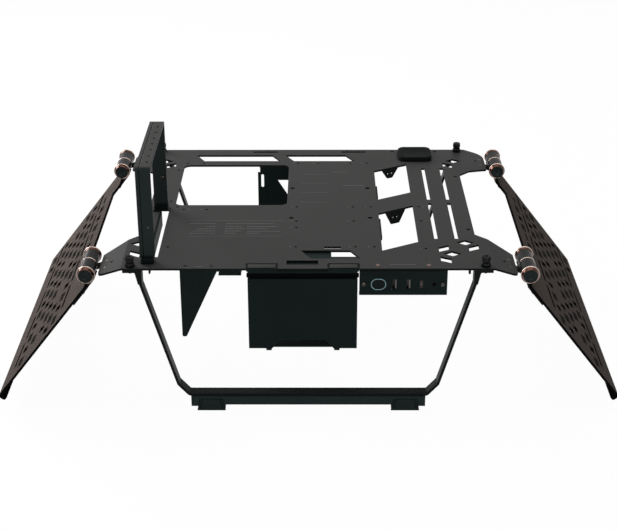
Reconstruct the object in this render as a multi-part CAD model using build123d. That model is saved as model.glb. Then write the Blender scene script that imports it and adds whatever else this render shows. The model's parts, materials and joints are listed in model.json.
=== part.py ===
"""Open air test bench: a folded tray on two leg frames, with perforated wings on friction hinges.

Millimetres, +Z up, origin on the floor under the middle of the tray, +X to the right, +Y to the rear.
"""
from build123d import *
import math
import os

# Tray sheet
tray_height = 193.2  # floor to the tray's top face
tray_depth = 397.0  # front edge to rear edge
tray_width = 440.0  # between the fold lines of the ears
waist_width = 411.2  # between the side edges, in the middle
waist_length = 201.0  # length of those side edges
tray_sheet = 2.5
tray_bend = 4.0  # inside radius of the ear folds
ear_reach = 27.5  # fold line to outer edge, seen from above
ear_angle = 17.0  # droop of the ears, degrees
ear_front_corner = 7.0
ear_rear_corner = 13.0

# Tray cut-outs: x is from the middle of the tray, and an inset from its front or rear edge
board_window_size = (145.0, 143.4)
board_window_x = -100.7
board_window_setback = 79.2  # its middle, in front of the board's rear row of holes
board_window_corner = 9.0
slant_cut_depth = 23.0
slant_cut_shift = 12.0  # sideways lean over that depth
rear_slant_cuts = [(-99.4, 107.0), (15.0, 85.0)]  # x, width
rear_slant_inset = 33.7
front_slant_cut = (27.4, 59.7)
front_slant_inset = 39.4
cable_window_width = 45.2
cable_window_rise = 25.6
cable_window_x = 112.1
cable_windows = [(75.9, 103.2, 26.0, 13.0), (-78.1, 114.0, 30.0, 17.0)]  # y, length, tab width, tab drop
tab_taper = 9.0  # narrowing of a bent tab at each side
tab_hole_r = 1.4
tab_hole_pitch = 6.0
long_slot_size = (4.6, 112.6)
long_slot_columns = [157.1, 182.2]
long_slot_rows = [68.2, -57.0]
hook_slot_size = (34.0, 4.5)
hook_slot_pitch = 125.0
hook_slot_inset = 9.5
cable_slot_size = (37.5, 11.4)
cable_slot_x = -6.5
cable_slot_inset = 16.7
tie_slot_size = (19.8, 5.8)
tie_slot_x = 29.8
tie_slot_inset = 59.5
diamond_size = (22.0, 14.5)
front_diamonds = [(191.5, 74.0), (173.2, 41.8), (-206.0, 71.5)]  # x, inset
rear_diamonds = [(201.0, 45.5), (-201.0, 45.5)]
lozenge_size = (12.6, 12.5)
lozenge_rise = 6.5
front_lozenges_up = [(200.7, 58.4), (164.2, 56.7)]
rear_lozenges_up = [(-191.8, 62.4)]
front_lozenges_down = [(164.3, 24.4), (-208.0, 41.5)]
rear_lozenges_down = [(191.8, 62.4)]
board_hole_r = 1.75
board_columns = [-170.0, -15.06]  # the four holes of a small board
board_row_pitch = 157.48
board_rear_inset = 53.62
wide_board_columns = [57.33, 80.2]
deep_board_inset = 61.5  # third row of holes, from the front edge
rear_row_holes = [-147.14, 12.4]
extra_board_holes = [(-15.06, 203.2), (57.33, 203.2), (-15.06, 223.3), (142.4, 156.6), (142.4, 202.8),
                     (-131.3, 165.4), (-161.1, 165.3), (-179.9, 138.5), (-179.9, 26.1)]  # x, from the rear row
corner_hole = (142.4, 56.5)
monitor_pitch = 100.0
monitor_hole_r = 3.0
monitor_place = (28.2, 1.9)

# Leg frames, foot bars and rubber feet
leg_width = 14.0
leg_bar = 3.3
leg_tab_inset = 2.0  # fold line to the end of a leg's tab
leg_tab_length = 14.4
leg_heel_length = 8.1
leg_heel_drop = 18.5
leg_ankle = 159.7
leg_ankle_rise = 15.4  # above the underside of the bottom bar
leg_toe = 146.0
foot_height = 20.9  # floor to the underside of the leg frame
foot_bar_length = 287.0
foot_bar_depth = 12.7
foot_bar_lip = 2.0  # the ends stand lower by this
rubber_foot_inner = 102.0
rubber_foot_length = 34.0
rubber_foot_height = 16.2
rubber_foot_taper = 3.0
foot_clearance = 0.2
thumbscrew_inset = 8.5  # from the end of the tab
thumbscrew_r = 5.5
thumbscrew_height = 12.5
thumbscrew_shank_r = 2.0
thumbscrew_tail = 3.0  # below the leg tab
thumbscrew_neck_r = 4.4
thumbscrew_cap_r = 5.1
thumbscrew_flat_count = 12  # grip flats round each step

# Expansion-slot frame and rail
slot_frame_height = 120.0  # above the tray
slot_frame_length = 164.0
slot_frame_inset = 16.5  # from the tray's front edge
slot_frame_x = -189.6
slot_frame_width = 17.6
slot_frame_sheet = 4.0
slot_frame_bend = 0.6
slot_groove_x = -193.8
slot_groove = 0.9
slot_pitch = 20.32
slot_count = 7
slot_hole_x = -186.2
slot_hole_r = 1.7
slot_screw_height = 45.0  # above the tray
slot_first_hole = 18.2  # from the front of the frame
slot_foot_height = 7.0
slot_foot_depth = 11.0
slot_foot_lip = 1.6
slot_foot_rib = 1.4
slot_slit_width = 12.0
slot_slit_right = -179.4
slot_slit_length = 147.0
slot_slit_shift = 7.5  # its middle, behind the middle of the frame
slot_rail_sheet = 2.0
slot_rail_flange = 12.0
slot_rail_drop = 20.0

# Power-supply brackets
bracket_sheet = 1.6
bracket_bend = 0.5
bracket_width = 129.7
bracket_x = -6.15
bracket_drop = 107.1  # below the tray's top face
bracket_flange = 26.0
bracket_wing_flange = 58.0
bracket_wing_edge = 28.0
bracket_shelf = 40.0
bracket_lip_drop = 6.9
bracket_jog_height = 6.6
bracket_jog_depth = 3.5
bracket_notch_top = 54.4
bracket_notch_bottom = 75.3
bracket_notch_height = 12.3
bracket_notch_depth = 4.8
bracket_stud_drop = 1.8
bracket_stud_width = 13.0
bracket_stud_depth = 3.2
hook_notch_width = 37.8
hook_notch_depth = 14.3
hook_notch_places = [-54.2, 42.2]
hook_clearance = 0.8
hook_sink = 0.4  # top of a hook below the tray's top face
rear_bracket_width = 132.3
rear_bracket_setback = 5.6  # its face, behind the board's rear row of holes
rear_bracket_flange = 12.0
rear_bracket_step = 3.1
rear_bracket_step_drop = 15.2
rear_slot_size = (3.9, 19.5)
rear_slot_inset = 6.5
rear_slot_drop = 27.9
rear_port_top = 77.0
rear_port_bottom = 17.0
rear_port_drop = 26.9
rear_port_height = 47.7
standoff_room = 0.7  # round a standoff that passes through the flange

# Front panel module
panel_sheet = 1.6
panel_bend = 0.5
panel_width = 103.6
panel_x = 112.5
panel_drop = 35.4
panel_flange = 22.0
panel_return = 9.0
panel_line_drop = 20.5  # centre line of the sockets below the tray's top face
panel_screw_pitch = 93.2
panel_screw_r = 1.5
board_gap = 13.0  # panel's front face to the circuit board
circuit_board = 1.6
circuit_board_size = (100.0, 25.0)
spacer_r = 3.0
button_x = 83.3
button_ring_size = (17.9, 14.4)
button_ring_wall = 0.8
button_ring_depth = 5.0
button_ring_proud = 0.4
button_clearance = 0.3
button_proud = 0.8
button_depth = 7.0
button_travel = 1.5
button_stem_r = 2.0
button_stem = 2.0
switch_size = 9.0
switch_plunger = 0.5
usb_a_places = [102.4, 118.6]
usb_a_size = (5.7, 13.2)
usb_a_wall = 0.5
usb_tongue = (1.8, 11.0)
usb_c_x = 133.9
usb_c_size = (3.4, 9.0)
usb_c_wall = 0.4
usb_c_tongue = (0.8, 5.4)
jack_x = 148.9
jack_body = 8.0
jack_collar_r = 3.0
jack_bore_r = 1.8
jack_bore_depth = 11.0
socket_clearance = 0.3
socket_recess = 0.3  # socket mouths sit this far behind the panel face
tongue_recess = 0.9
socket_base = 4.0  # solid back of a socket, on the board
panel_tray_screw_pitch = 60.1
panel_tray_screw_inset = 10.5

# Corner gusset and pad
gusset_sheet = 2.0
gusset_left = -150.5
gusset_top_width = 43.5
gusset_height = 87.5
gusset_tip_width = 5.0
gusset_tip_r = 2.0
gusset_flange = 20.0
gusset_screw_pitch = 31.0
gusset_screw_inset = 8.0
pad_size = (46.0, 44.0)
pad_x = 148.5
pad_inset = 25.5
pad_height = 6.0
pad_corner = 9.0
pad_round = 1.5

# Small screws and holes
small_side_count = 8  # small rounds that repeat are drawn with this many sides
screw_r = 1.5
screw_head_r = 2.7
screw_head = 1.3
screw_clearance = 0.1

# Friction hinges, in the plane of the ear: reach is from the ear's edge to the axis
hinge_reach = 13.1
hinge_seat = 6.5  # axis to the face that a leaf seats on
hinge_inset = 31.3  # middle of a barrel from the tray's front or rear edge
hinge_shift = 2.7  # further forward by this
barrel_length = 65.0
barrel_r = 9.5
pin_r = 4.0
pin_clearance = 0.05
running_gap = 0.3
ring_length = 8.0
ring_r = 11.2
ring_chamfer = 0.8
cap_r = 7.8
cap_proud = 0.6
middle_ring_r = 9.8
middle_ring_width = 2.0
leaf_sheet = 2.5
arm_width = 8.6
arm_height = 4.5
ear_leaf_length = 24.0
ear_leaf_width = 36.0
ear_screw_pitch = 20.0
ear_screw_inset = 7.0
wing_leaf_length = 30.0
wing_leaf_width = 52.0
wing_screw_pitch = 38.0
wing_screw_inset = 12.0
wing_screw_cover = 0.6  # sheet left over the tip of a wing screw

# Wings, in the wing's own plane: distances are from the hinge axis
wing_drop = 52.0  # rest angle below level, degrees
wing_sheet = 3.0
wing_near = 13.0  # inner edge beside the hinges
wing_waist = 30.0  # inner edge between the hinges
wing_tab_length = 80.0  # of the inner edge beside each hinge
wing_far = 201.5  # outer edge, at the front
wing_flare = 8.5  # further out at the rear
wing_overhang = 3.5  # past the tray at the front and rear
wing_lip = 10.4
wing_lip_corner = 4.0
wing_bend = 1.0
fan_slot_size = (4.5, 61.0)
fan_slot_rows = [69.5, 174.5]
fan_slot_pitch = 74.8
fan_slot_shift = 13.0  # middle of the slots, behind the middle of the wing
fan_slot_count = 5
cell_pitch = 18.5  # between lattice columns
cell_column = 85.0  # first lattice column
cell_column_count = 5
cell_rise = 31.5  # between neighbouring cells of one column
cell_row_count = 12
cell_margin = 26.0  # middle of the front row from the wing's front edge
cell_width = 11.0
cell_height = 13.0
cell_lean = 8.0
plain_cells = [(1, 3), (1, 4), (2, 0), (2, 7), (2, 11), (3, 0), (3, 2), (3, 11)]  # column, row
slit_width = 2.4
slit_pitch = 4.0
slit_count = 3
slit_length = 21.0
border_column = 53.0
border_slit_rows = [5, 7, 9]
border_notch_rows = [4, 6, 10]
border_notch_width = 4.0
border_rhomb_row = 8
rim_column = 190.0
rim_rhomb_row = 10
rim_slit_row = 11

# Places worked out from the sizes above
tray_top = tray_height
tray_under = tray_height - tray_sheet
front = -tray_depth / 2
rear = tray_depth / 2
fold_x = tray_width / 2
waist_x = waist_width / 2
ear_edge_x = fold_x + ear_reach
ear_edge_z = tray_top - ear_reach * math.tan(math.radians(ear_angle))
ear_cos = math.cos(math.radians(ear_angle))
ear_sin = math.sin(math.radians(ear_angle))
axis_rise = hinge_seat - tray_sheet
axis_x = ear_edge_x + hinge_reach * ear_cos + axis_rise * ear_sin
axis_z = ear_edge_z - hinge_reach * ear_sin + axis_rise * ear_cos
ear_frame = Pos(axis_x, 0, axis_z) * Rot(0, ear_angle, 0)
wing_frame = Pos(axis_x, 0, axis_z) * Rot(0, wing_drop, 0)
half_turn = Rot(0, 0, 180)
leg_y = rear - leg_width / 2
leg_tab_edge = fold_x - leg_tab_inset
leg_knee = leg_tab_edge - leg_tab_length
leg_heel = leg_knee - leg_heel_length
thumbscrew_x = leg_tab_edge - thumbscrew_inset
board_rear_row = rear - board_rear_inset
board_rows = [board_rear_row, board_rear_row - board_row_pitch]
deep_board_row = front + deep_board_inset
slot_frame_front = front + slot_frame_inset
slot_frame_rear = slot_frame_front + slot_frame_length
slot_slit_y = (slot_frame_front + slot_frame_rear) / 2 + slot_slit_shift
hinge_rows = [front + hinge_inset - hinge_shift, rear - hinge_inset - hinge_shift]
wing_length = tray_depth + 2 * wing_overhang
wing_waist_length = wing_length - 2 * wing_tab_length
THROUGH = 40.0  # long enough to cut right through a sheet


def along_x(profile, low, high):
    """Extrude a profile drawn in Y and Z from one X to another."""
    return extrude(Pos(low, 0, 0) * (Plane.YZ * profile), high - low, dir=(1, 0, 0))


def along_y(profile, low, high):
    """Extrude a profile drawn in X and Z from one Y to another."""
    return extrude(Pos(0, low, 0) * (Plane.XZ * profile), high - low, dir=(0, 1, 0))


def along_z(profile, low, high):
    """Extrude a profile drawn in X and Y from one Z to another."""
    return extrude(Pos(0, 0, low) * profile, high - low, dir=(0, 0, 1))


def block(x_range, y_range, z_range):
    """A box between three pairs of limits."""
    size = [high - low for low, high in (x_range, y_range, z_range)]
    middle = [(high + low) / 2 for low, high in (x_range, y_range, z_range)]
    return Pos(*middle) * Box(*size)


def span(middle, length):
    """The two ends of a length about its middle."""
    return (middle - length / 2, middle + length / 2)


def corners_at(profile, points):
    """The vertices of a profile that lie at the given points."""
    return [v for v in profile.vertices() for p in points if (Vector(v.X, v.Y) - Vector(*p)).length < 0.001]


def folded(path, thickness, bend):
    """Profile of a sheet folded along a path, with the sheet on the left of the path."""
    points = [Vector(*p) for p in path]
    other_side = []
    inside = []
    outside = []
    for i, point in enumerate(points):
        ahead = (points[i + 1] - point).normalized() if i + 1 < len(points) else None
        behind = (point - points[i - 1]).normalized() if i else ahead
        ahead = ahead or behind
        normal = Vector(-behind.Y - ahead.Y, behind.X + ahead.X).normalized()
        offset = point + normal * (thickness / normal.dot(Vector(-behind.Y, behind.X)))
        other_side.append(offset)
        turn = behind.cross(ahead).Z
        if abs(turn) > 0.001:
            inside.append(offset if turn > 0 else point)
            outside.append(point if turn > 0 else offset)
    profile = make_face(Polyline(*points, *reversed(other_side), close=True))
    profile = fillet(corners_at(profile, [(p.X, p.Y) for p in outside]), bend + thickness)
    return fillet(corners_at(profile, [(p.X, p.Y) for p in inside]), bend)


def leaning(width, height, rise):
    """A parallelogram with upright sides, whose right side stands higher by the rise."""
    x, y, lift = width / 2, height / 2, rise / 2
    return Polygon((-x, -y - lift), (x, -y + lift), (x, y + lift), (-x, y - lift))


def slanted(width, depth, shift):
    """A parallelogram with level ends, whose rear end lies further left by the shift."""
    x, y, lean = width / 2, depth / 2, shift / 2
    return Polygon((-x + lean, -y), (x + lean, -y), (x - lean, y), (-x - lean, y))


def diamond(width, depth):
    """A rhombus that stands on one corner."""
    return Polygon((-width / 2, 0), (0, -depth / 2), (width / 2, 0), (0, depth / 2))


def stadium(width, height):
    """A rounded bar outline, with full half-round ends on its longer side."""
    if width > height:
        return SlotOverall(width, height)
    return SlotOverall(height, width, rotation=90)


def small_round(radius):
    """Section of a small screw or hole."""
    return RegularPolygon(radius, small_side_count)


def screw(length):
    """A small screw whose head sits on z = 0 and whose shank points down."""
    return along_z(small_round(screw_head_r), 0, screw_head) + along_z(small_round(screw_r), -length, 0)


def screw_hole():
    """A clearance hole for a small screw, along Z."""
    return along_z(small_round(screw_r + screw_clearance), -THROUGH, THROUGH)


def sunk_head(grow):
    """Cone of a countersunk head under z = 0, grown by a clearance."""
    return loft([small_round(screw_head_r + grow), Pos(0, 0, -screw_head) * small_round(screw_r + grow)])


def flush_screw(length):
    """A countersunk screw whose head is level with z = 0."""
    return sunk_head(0) + along_z(small_round(screw_r), -length, -screw_head)


def flush_hole():
    """A countersunk hole from z = 0 downwards."""
    return sunk_head(screw_clearance) + along_z(small_round(screw_r + screw_clearance), -THROUGH, -screw_head)


def group(solids):
    """Several like solids in one node."""
    return Compound(children=list(solids))


# Tray


def from_edges(front_places, rear_places):
    """Positions of places given as x and inset from the front edge, then from the rear edge."""
    return [Pos(x, front + y) for x, y in front_places] + [Pos(x, rear - y) for x, y in rear_places]


def slant_cut(width):
    """A slanted cable cut-out of a given width."""
    return slanted(width, slant_cut_depth, slant_cut_shift)


def tray_cutouts():
    """Every shape that is cut straight down through the tray."""
    window = RectangleRounded(*board_window_size, board_window_corner)
    shapes = [Pos(board_window_x, board_rear_row - board_window_setback) * window]
    shapes += [Pos(x, rear - rear_slant_inset) * slant_cut(width) for x, width in rear_slant_cuts]
    shapes.append(Pos(front_slant_cut[0], front + front_slant_inset) * slant_cut(front_slant_cut[1]))
    for y, length, _, _ in cable_windows:
        shapes.append(Pos(cable_window_x, y) * leaning(cable_window_width, length, cable_window_rise))
    shapes += [Pos(x, y) * Rectangle(*long_slot_size) for x in long_slot_columns for y in long_slot_rows]
    shapes += [Pos(x, rear - hook_slot_inset) * Rectangle(*hook_slot_size) for x in span(0, hook_slot_pitch)]
    shapes.append(Pos(cable_slot_x, front + cable_slot_inset) * Rectangle(*cable_slot_size))
    shapes.append(Pos(tie_slot_x, front + tie_slot_inset) * Rectangle(*tie_slot_size))
    shapes += [place * diamond(*diamond_size) for place in from_edges(front_diamonds, rear_diamonds)]
    leaning_up = leaning(*lozenge_size, lozenge_rise)
    shapes += [place * leaning_up for place in from_edges(front_lozenges_up, rear_lozenges_up)]
    leaning_down = leaning(*lozenge_size, -lozenge_rise)
    shapes += [place * leaning_down for place in from_edges(front_lozenges_down, rear_lozenges_down)]
    slit_x = slot_slit_right - slot_slit_width / 2
    shapes.append(Pos(slit_x, slot_slit_y) * Rectangle(slot_slit_width, slot_slit_length))
    notch = Rectangle(hook_notch_width, 2 * hook_notch_depth)
    shapes += [Pos(x, front) * notch for x in hook_notch_places]
    return shapes


def tray_holes():
    """Round holes through the flat of the tray."""
    holes = [Pos(x, y) * Circle(board_hole_r) for x in board_columns for y in board_rows]
    for x in span(monitor_place[0], monitor_pitch):
        for y in span(monitor_place[1], monitor_pitch):
            holes.append(Pos(x, y) * Circle(monitor_hole_r))
    repeats = [(x, y) for x in wide_board_columns for y in board_rows]
    repeats += [(x, deep_board_row) for x in board_columns + wide_board_columns]
    repeats += [(x, board_rear_row) for x in rear_row_holes]
    repeats += [(x, board_rear_row - setback) for x, setback in extra_board_holes]
    repeats.append((corner_hole[0], front + corner_hole[1]))
    holes += [Pos(*p) * small_round(board_hole_r) for p in repeats]
    for p in thumbscrew_places():
        holes.append(Pos(*p) * small_round(thumbscrew_shank_r + screw_clearance))
    return holes


def window_tab(y, length, width, drop):
    """Tab bent down from the slanted rear edge of a cable window."""
    tilt = math.degrees(math.atan2(cable_window_rise, cable_window_width))
    face = Polygon((-width / 2, 0), (-width / 2 + tab_taper, -drop), (width / 2 - tab_taper, -drop), (width / 2, 0))
    tab = along_y(face, 0, tray_sheet) + block(span(0, width), (0, tray_sheet), (0, tray_sheet))
    hole = along_y(small_round(tab_hole_r), -tray_sheet, 2 * tray_sheet)
    tab -= [Pos(x, 0, -drop / 2) * hole for x in span(0, tab_hole_pitch)]
    return Pos(cable_window_x, y + length / 2, tray_under) * Rot(0, 0, tilt) * tab


def make_tray():
    """The folded tray sheet with its ears, cut-outs and bent tabs."""
    path = [(ear_edge_x, ear_edge_z), (fold_x, tray_top), (-fold_x, tray_top), (-ear_edge_x, ear_edge_z)]
    sheet = along_y(folded(path, tray_sheet, tray_bend), front, rear)
    half = [(0, front), (ear_edge_x, front), (ear_edge_x, -waist_length / 2 - ear_edge_x + waist_x),
            (waist_x, -waist_length / 2), (waist_x, waist_length / 2),
            (ear_edge_x, waist_length / 2 + ear_edge_x - waist_x), (ear_edge_x, rear), (0, rear)]
    right = Polygon(*half)
    right = fillet(corners_at(right, [(ear_edge_x, front)]), ear_front_corner)
    right = fillet(corners_at(right, [(ear_edge_x, rear)]), ear_rear_corner)
    plan = right + mirror(right, Plane.YZ)
    tray = sheet & along_z(plan, ear_edge_z - THROUGH, tray_top + THROUGH)
    for y, length, width, drop in cable_windows:
        tray += window_tab(y, length, width, drop)
    cuts = [along_z(s, tray_under - tray_sheet, tray_top + tray_sheet) for s in tray_cutouts() + tray_holes()]
    cuts += [ear * flush_hole() for ear in ear_screw_frames()]
    cuts += [Pos(x, y, tray_top) * flush_hole() for x, y in panel_tray_screws() + gusset_screws_places()]
    return tray - cuts


# Legs and feet


def thumbscrew_places():
    """Where the four thumbscrews go through the tray."""
    return [(x, y) for x in (-thumbscrew_x, thumbscrew_x) for y in (-leg_y, leg_y)]


def make_leg_frame(y):
    """One flat-bar leg frame: two tabs under the tray, two sloping legs and a bottom bar."""
    tab_under = tray_under - leg_bar
    half = [(leg_tab_edge, tab_under), (leg_knee, tab_under), (leg_ankle, foot_height + leg_ankle_rise),
            (leg_toe, foot_height)]
    path = [(-x, z) for x, z in half] + [(x, z) for x, z in reversed(half)]
    profile = folded(path, leg_bar, leg_bar / 2)
    heel = Polygon((leg_heel, tray_under), (leg_heel, tray_under - leg_heel_drop),
                   (leg_knee - leg_bar, tray_under - leg_heel_drop), (leg_knee, tab_under), (leg_knee, tray_under))
    profile = profile + heel + mirror(heel, Plane.YZ)
    frame = along_y(profile, y - leg_width / 2, y + leg_width / 2)
    hole = along_z(small_round(thumbscrew_shank_r + screw_clearance), tab_under - leg_bar, tray_top)
    return frame - [Pos(x, y, 0) * hole for x in (-thumbscrew_x, thumbscrew_x)]


def rubber_foot_profile(grow):
    """Side outline of a rubber foot, grown by a clearance for its pocket."""
    inner = rubber_foot_inner
    outer = inner + rubber_foot_length
    top = rubber_foot_height + grow
    return Polygon((inner - grow, 0), (outer + grow, 0), (outer - rubber_foot_taper + grow, top),
                   (inner + rubber_foot_taper - grow, top))


def make_foot_bar(y):
    """Bar under a leg frame, with a pocket for each rubber foot."""
    half_length = foot_bar_length / 2
    low = foot_height - foot_bar_depth
    lip_start = rubber_foot_inner + rubber_foot_length / 2
    half = Polygon((0, low), (lip_start, low), (lip_start, low - foot_bar_lip), (half_length, low - foot_bar_lip),
                   (half_length, foot_height), (0, foot_height))
    half = half - rubber_foot_profile(foot_clearance)
    return along_y(half + mirror(half, Plane.YZ), y - leg_width / 2, y + leg_width / 2)


def make_rubber_foot(side, y):
    """One rubber foot, seated in its pocket."""
    foot = along_y(rubber_foot_profile(0), y - leg_width / 2, y + leg_width / 2)
    return foot if side > 0 else mirror(foot, Plane.YZ)


def make_thumbscrews():
    """Four stepped thumbscrews that clamp the tray to the leg tabs."""
    tail = tray_sheet + leg_bar + thumbscrew_tail
    steps = [thumbscrew_r, thumbscrew_neck_r, thumbscrew_cap_r]
    rise = thumbscrew_height / len(steps)
    one = along_z(small_round(thumbscrew_shank_r), -tail, 0)
    for i, radius in enumerate(steps):
        one += along_z(RegularPolygon(radius, thumbscrew_flat_count), i * rise, (i + 1) * rise)
    return group(Pos(x, y, tray_top) * one for x, y in thumbscrew_places())


# Expansion-slot frame


def make_slot_frame():
    """Upright U of folded sheet with a groove along it and a row of screw holes on top."""
    low = tray_top + slot_foot_height
    high = tray_top + slot_frame_height
    path = [(slot_frame_rear, low), (slot_frame_rear, high), (slot_frame_front, high), (slot_frame_front, low)]
    frame = along_x(folded(path, slot_frame_sheet, slot_frame_bend), *span(slot_frame_x, slot_frame_width))
    groove = along_x(folded(path, slot_groove, slot_frame_bend), *span(slot_groove_x, slot_groove))
    hole = along_z(Circle(slot_hole_r), tray_top, tray_top + slot_frame_height + slot_frame_sheet)
    first = slot_frame_front + slot_first_hole
    holes = [Pos(slot_hole_x, first + i * slot_pitch, 0) * hole for i in range(slot_count)]
    screw_holes = [frame_screw * screw_hole() for frame_screw in slot_screw_frames()]
    return frame - groove - holes - screw_holes


def slot_screw_frames():
    """Places of the screws on the inner faces of the two posts."""
    z = tray_top + slot_screw_height
    y0 = slot_frame_front + slot_frame_sheet
    y1 = slot_frame_rear - slot_frame_sheet
    return [Pos(slot_hole_x, y0, z) * Rot(-90, 0, 0), Pos(slot_hole_x, y1, z) * Rot(90, 0, 0)]


def make_slot_foot(y, ribbed):
    """Foot between a post of the slot frame and the tray, plain or with upright ribs."""
    x0, x1 = span(slot_frame_x, slot_frame_width)
    low, high = tray_top, tray_top + slot_foot_height
    if not ribbed:
        return block((x0 + slot_foot_lip, x1 - slot_foot_lip), span(y, slot_foot_depth), (low, high))
    foot = block((x0, x1), span(y, slot_foot_depth), (low, high))
    foot += block((x0 - slot_foot_lip, x1 + slot_foot_lip), span(y, slot_foot_depth + 2 * slot_foot_lip),
                  (low, low + slot_foot_lip))
    ribs = int(slot_frame_width / (2 * slot_foot_rib))
    for i in range(ribs):
        x = x0 + (i + 0.5) * slot_frame_width / ribs
        for side in (-1, 1):
            groove_y = span(y + side * slot_foot_depth / 2, slot_foot_rib)
            foot -= block(span(x, slot_foot_rib), groove_y, (low + slot_foot_lip, high))
    return foot


def make_slot_rail():
    """Angle under the tray that the lower ends of the card brackets hook behind."""
    web_x = slot_slit_right - slot_slit_width + slot_rail_sheet
    path = [(web_x, tray_under - slot_rail_drop), (web_x, tray_under), (web_x - slot_rail_flange, tray_under)]
    return along_y(folded(path, slot_rail_sheet, bracket_bend), *span(slot_slit_y, slot_slit_length))


# Power-supply brackets


def make_front_bracket():
    """Folded front bracket: flange, lip, jog, face with a notch, shelf, and two hooks over the tray's edge."""
    x0, x1 = span(bracket_x, bracket_width)
    lip = tray_top - bracket_lip_drop
    jog = lip - bracket_jog_height
    low = tray_top - bracket_drop
    path = [(front + bracket_flange, tray_under), (front, tray_under), (front, lip),
            (front + bracket_jog_depth, lip), (front + bracket_jog_depth, jog), (front, jog), (front, low),
            (front + bracket_shelf, low)]
    body = along_x(folded(path, bracket_sheet, bracket_bend), x0, x1)
    wing_flange = (front + bracket_flange - bracket_sheet, front + bracket_wing_flange)
    body += block((x0, bracket_wing_edge), wing_flange, (tray_under - bracket_sheet, tray_under))
    for x in hook_notch_places:
        wide = span(x, hook_notch_width - 2 * hook_clearance)
        deep = (front, front + hook_notch_depth - hook_clearance)
        body += block(wide, deep, (tray_under - bracket_sheet, tray_top - hook_sink))
    for side in (-1, 1):
        stud_x = bracket_x + side * bracket_notch_bottom / 2
        body += block(span(stud_x, bracket_stud_width), (front, front + bracket_stud_depth),
                      (low - bracket_stud_drop, low + bracket_sheet))
    half_top, half_low = bracket_notch_top / 2, bracket_notch_bottom / 2
    notch = Polygon((-half_low, low - THROUGH), (half_low, low - THROUGH), (half_low, low),
                    (half_top, low + bracket_notch_height), (-half_top, low + bracket_notch_height), (-half_low, low))
    return body - Pos(bracket_x, 0, 0) * along_y(notch, front - bracket_notch_depth, front + bracket_notch_depth)


def make_rear_bracket():
    """Folded rear bracket with an upright slot at each side and a tapered port."""
    low = tray_top - bracket_drop
    face = board_rear_row + rear_bracket_setback
    path = [(face, low), (face, tray_under), (face - rear_bracket_flange, tray_under)]
    body = along_x(folded(path, bracket_sheet, bracket_bend), *span(bracket_x, rear_bracket_width))
    port = Polygon((-rear_port_top / 2, 0), (-rear_port_bottom / 2, -rear_port_height),
                   (rear_port_bottom / 2, -rear_port_height), (rear_port_top / 2, 0))
    through = span(face, THROUGH)
    cuts = [Pos(bracket_x, 0, tray_top - rear_port_drop) * along_y(port, *through)]
    for side in (-1, 1):
        edge = bracket_x + side * rear_bracket_width / 2
        slot_x = edge - side * rear_slot_inset
        cuts.append(Pos(slot_x, 0, tray_top - rear_slot_drop) * along_y(stadium(*rear_slot_size), *through))
        cuts.append(block(span(edge, 2 * rear_bracket_step), through, (tray_top - rear_bracket_step_drop, tray_top)))
    standoff = along_z(small_round(board_hole_r + standoff_room), tray_under - THROUGH, tray_top)
    for x in board_columns + wide_board_columns + rear_row_holes:
        cuts.append(Pos(x, board_rear_row, 0) * standoff)
    return body - cuts


# Front panel module


def panel_point(x):
    """A point of the panel's centre line, on its front face."""
    return Pos(x, front, tray_top - panel_line_drop)


def panel_tray_screws():
    """Screws down through the tray into the panel's flange."""
    return [(x, front + panel_tray_screw_inset) for x in span(panel_x, panel_tray_screw_pitch)]


def panel_screw_xs():
    """The two screws on the panel's face."""
    return span(panel_x, panel_screw_pitch)


def make_panel():
    """Folded panel with openings for the button, the sockets and its screws."""
    low = tray_top - panel_drop
    path = [(front + panel_flange, tray_under), (front, tray_under), (front, low), (front + panel_return, low)]
    panel = along_x(folded(path, panel_sheet, panel_bend), *span(panel_x, panel_width))
    gap = 2 * socket_clearance
    openings = [(button_x, stadium(*button_ring_size))]
    openings += [(x, Rectangle(usb_a_size[0] + gap, usb_a_size[1] + gap)) for x in usb_a_places]
    openings.append((usb_c_x, stadium(usb_c_size[0] + gap, usb_c_size[1] + gap)))
    openings.append((jack_x, Circle(jack_collar_r + socket_clearance)))
    openings += [(x, small_round(panel_screw_r + screw_clearance)) for x in panel_screw_xs()]
    cuts = [panel_point(x) * along_y(shape, -panel_sheet, 2 * panel_sheet) for x, shape in openings]
    cuts += [Pos(x, y, tray_top) * screw_hole() for x, y in panel_tray_screws()]
    return panel - cuts


def make_circuit_board():
    """Circuit board that carries the sockets and the switch."""
    board = panel_point(panel_x) * along_y(Rectangle(*circuit_board_size), board_gap, board_gap + circuit_board)
    hole = along_y(small_round(panel_screw_r + screw_clearance), 0, board_gap + 2 * circuit_board)
    return board - [panel_point(x) * hole for x in panel_screw_xs()]


def make_spacers():
    """Two tubes that hold the board off the panel."""
    ring = small_round(spacer_r) - small_round(panel_screw_r + screw_clearance)
    return group(panel_point(x) * along_y(ring, panel_sheet, board_gap) for x in panel_screw_xs())


def make_panel_screws():
    """Two screws through the panel and the spacers into the board."""
    one = along_y(small_round(screw_head_r), -screw_head, 0)
    one += along_y(small_round(panel_screw_r), 0, board_gap + circuit_board)
    return group(panel_point(x) * one for x in panel_screw_xs())


def make_usb_a_port(x):
    """Metal shell of an upright USB-A socket."""
    width, height = usb_a_size
    shell = Rectangle(width, height) - Rectangle(width - 2 * usb_a_wall, height - 2 * usb_a_wall)
    return panel_point(x) * along_y(shell, socket_recess, board_gap)


def make_usb_a_tongues():
    """Plastic tongues inside the USB-A shells, each on its base."""
    width, height = (size - 2 * usb_a_wall for size in usb_a_size)
    base = board_gap - socket_base
    one = along_y(Rectangle(width, height), base, board_gap)
    one += Pos(width / 2 - usb_tongue[0] / 2, 0, 0) * along_y(Rectangle(*usb_tongue), tongue_recess, base)
    return group(panel_point(x) * one for x in usb_a_places)


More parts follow.
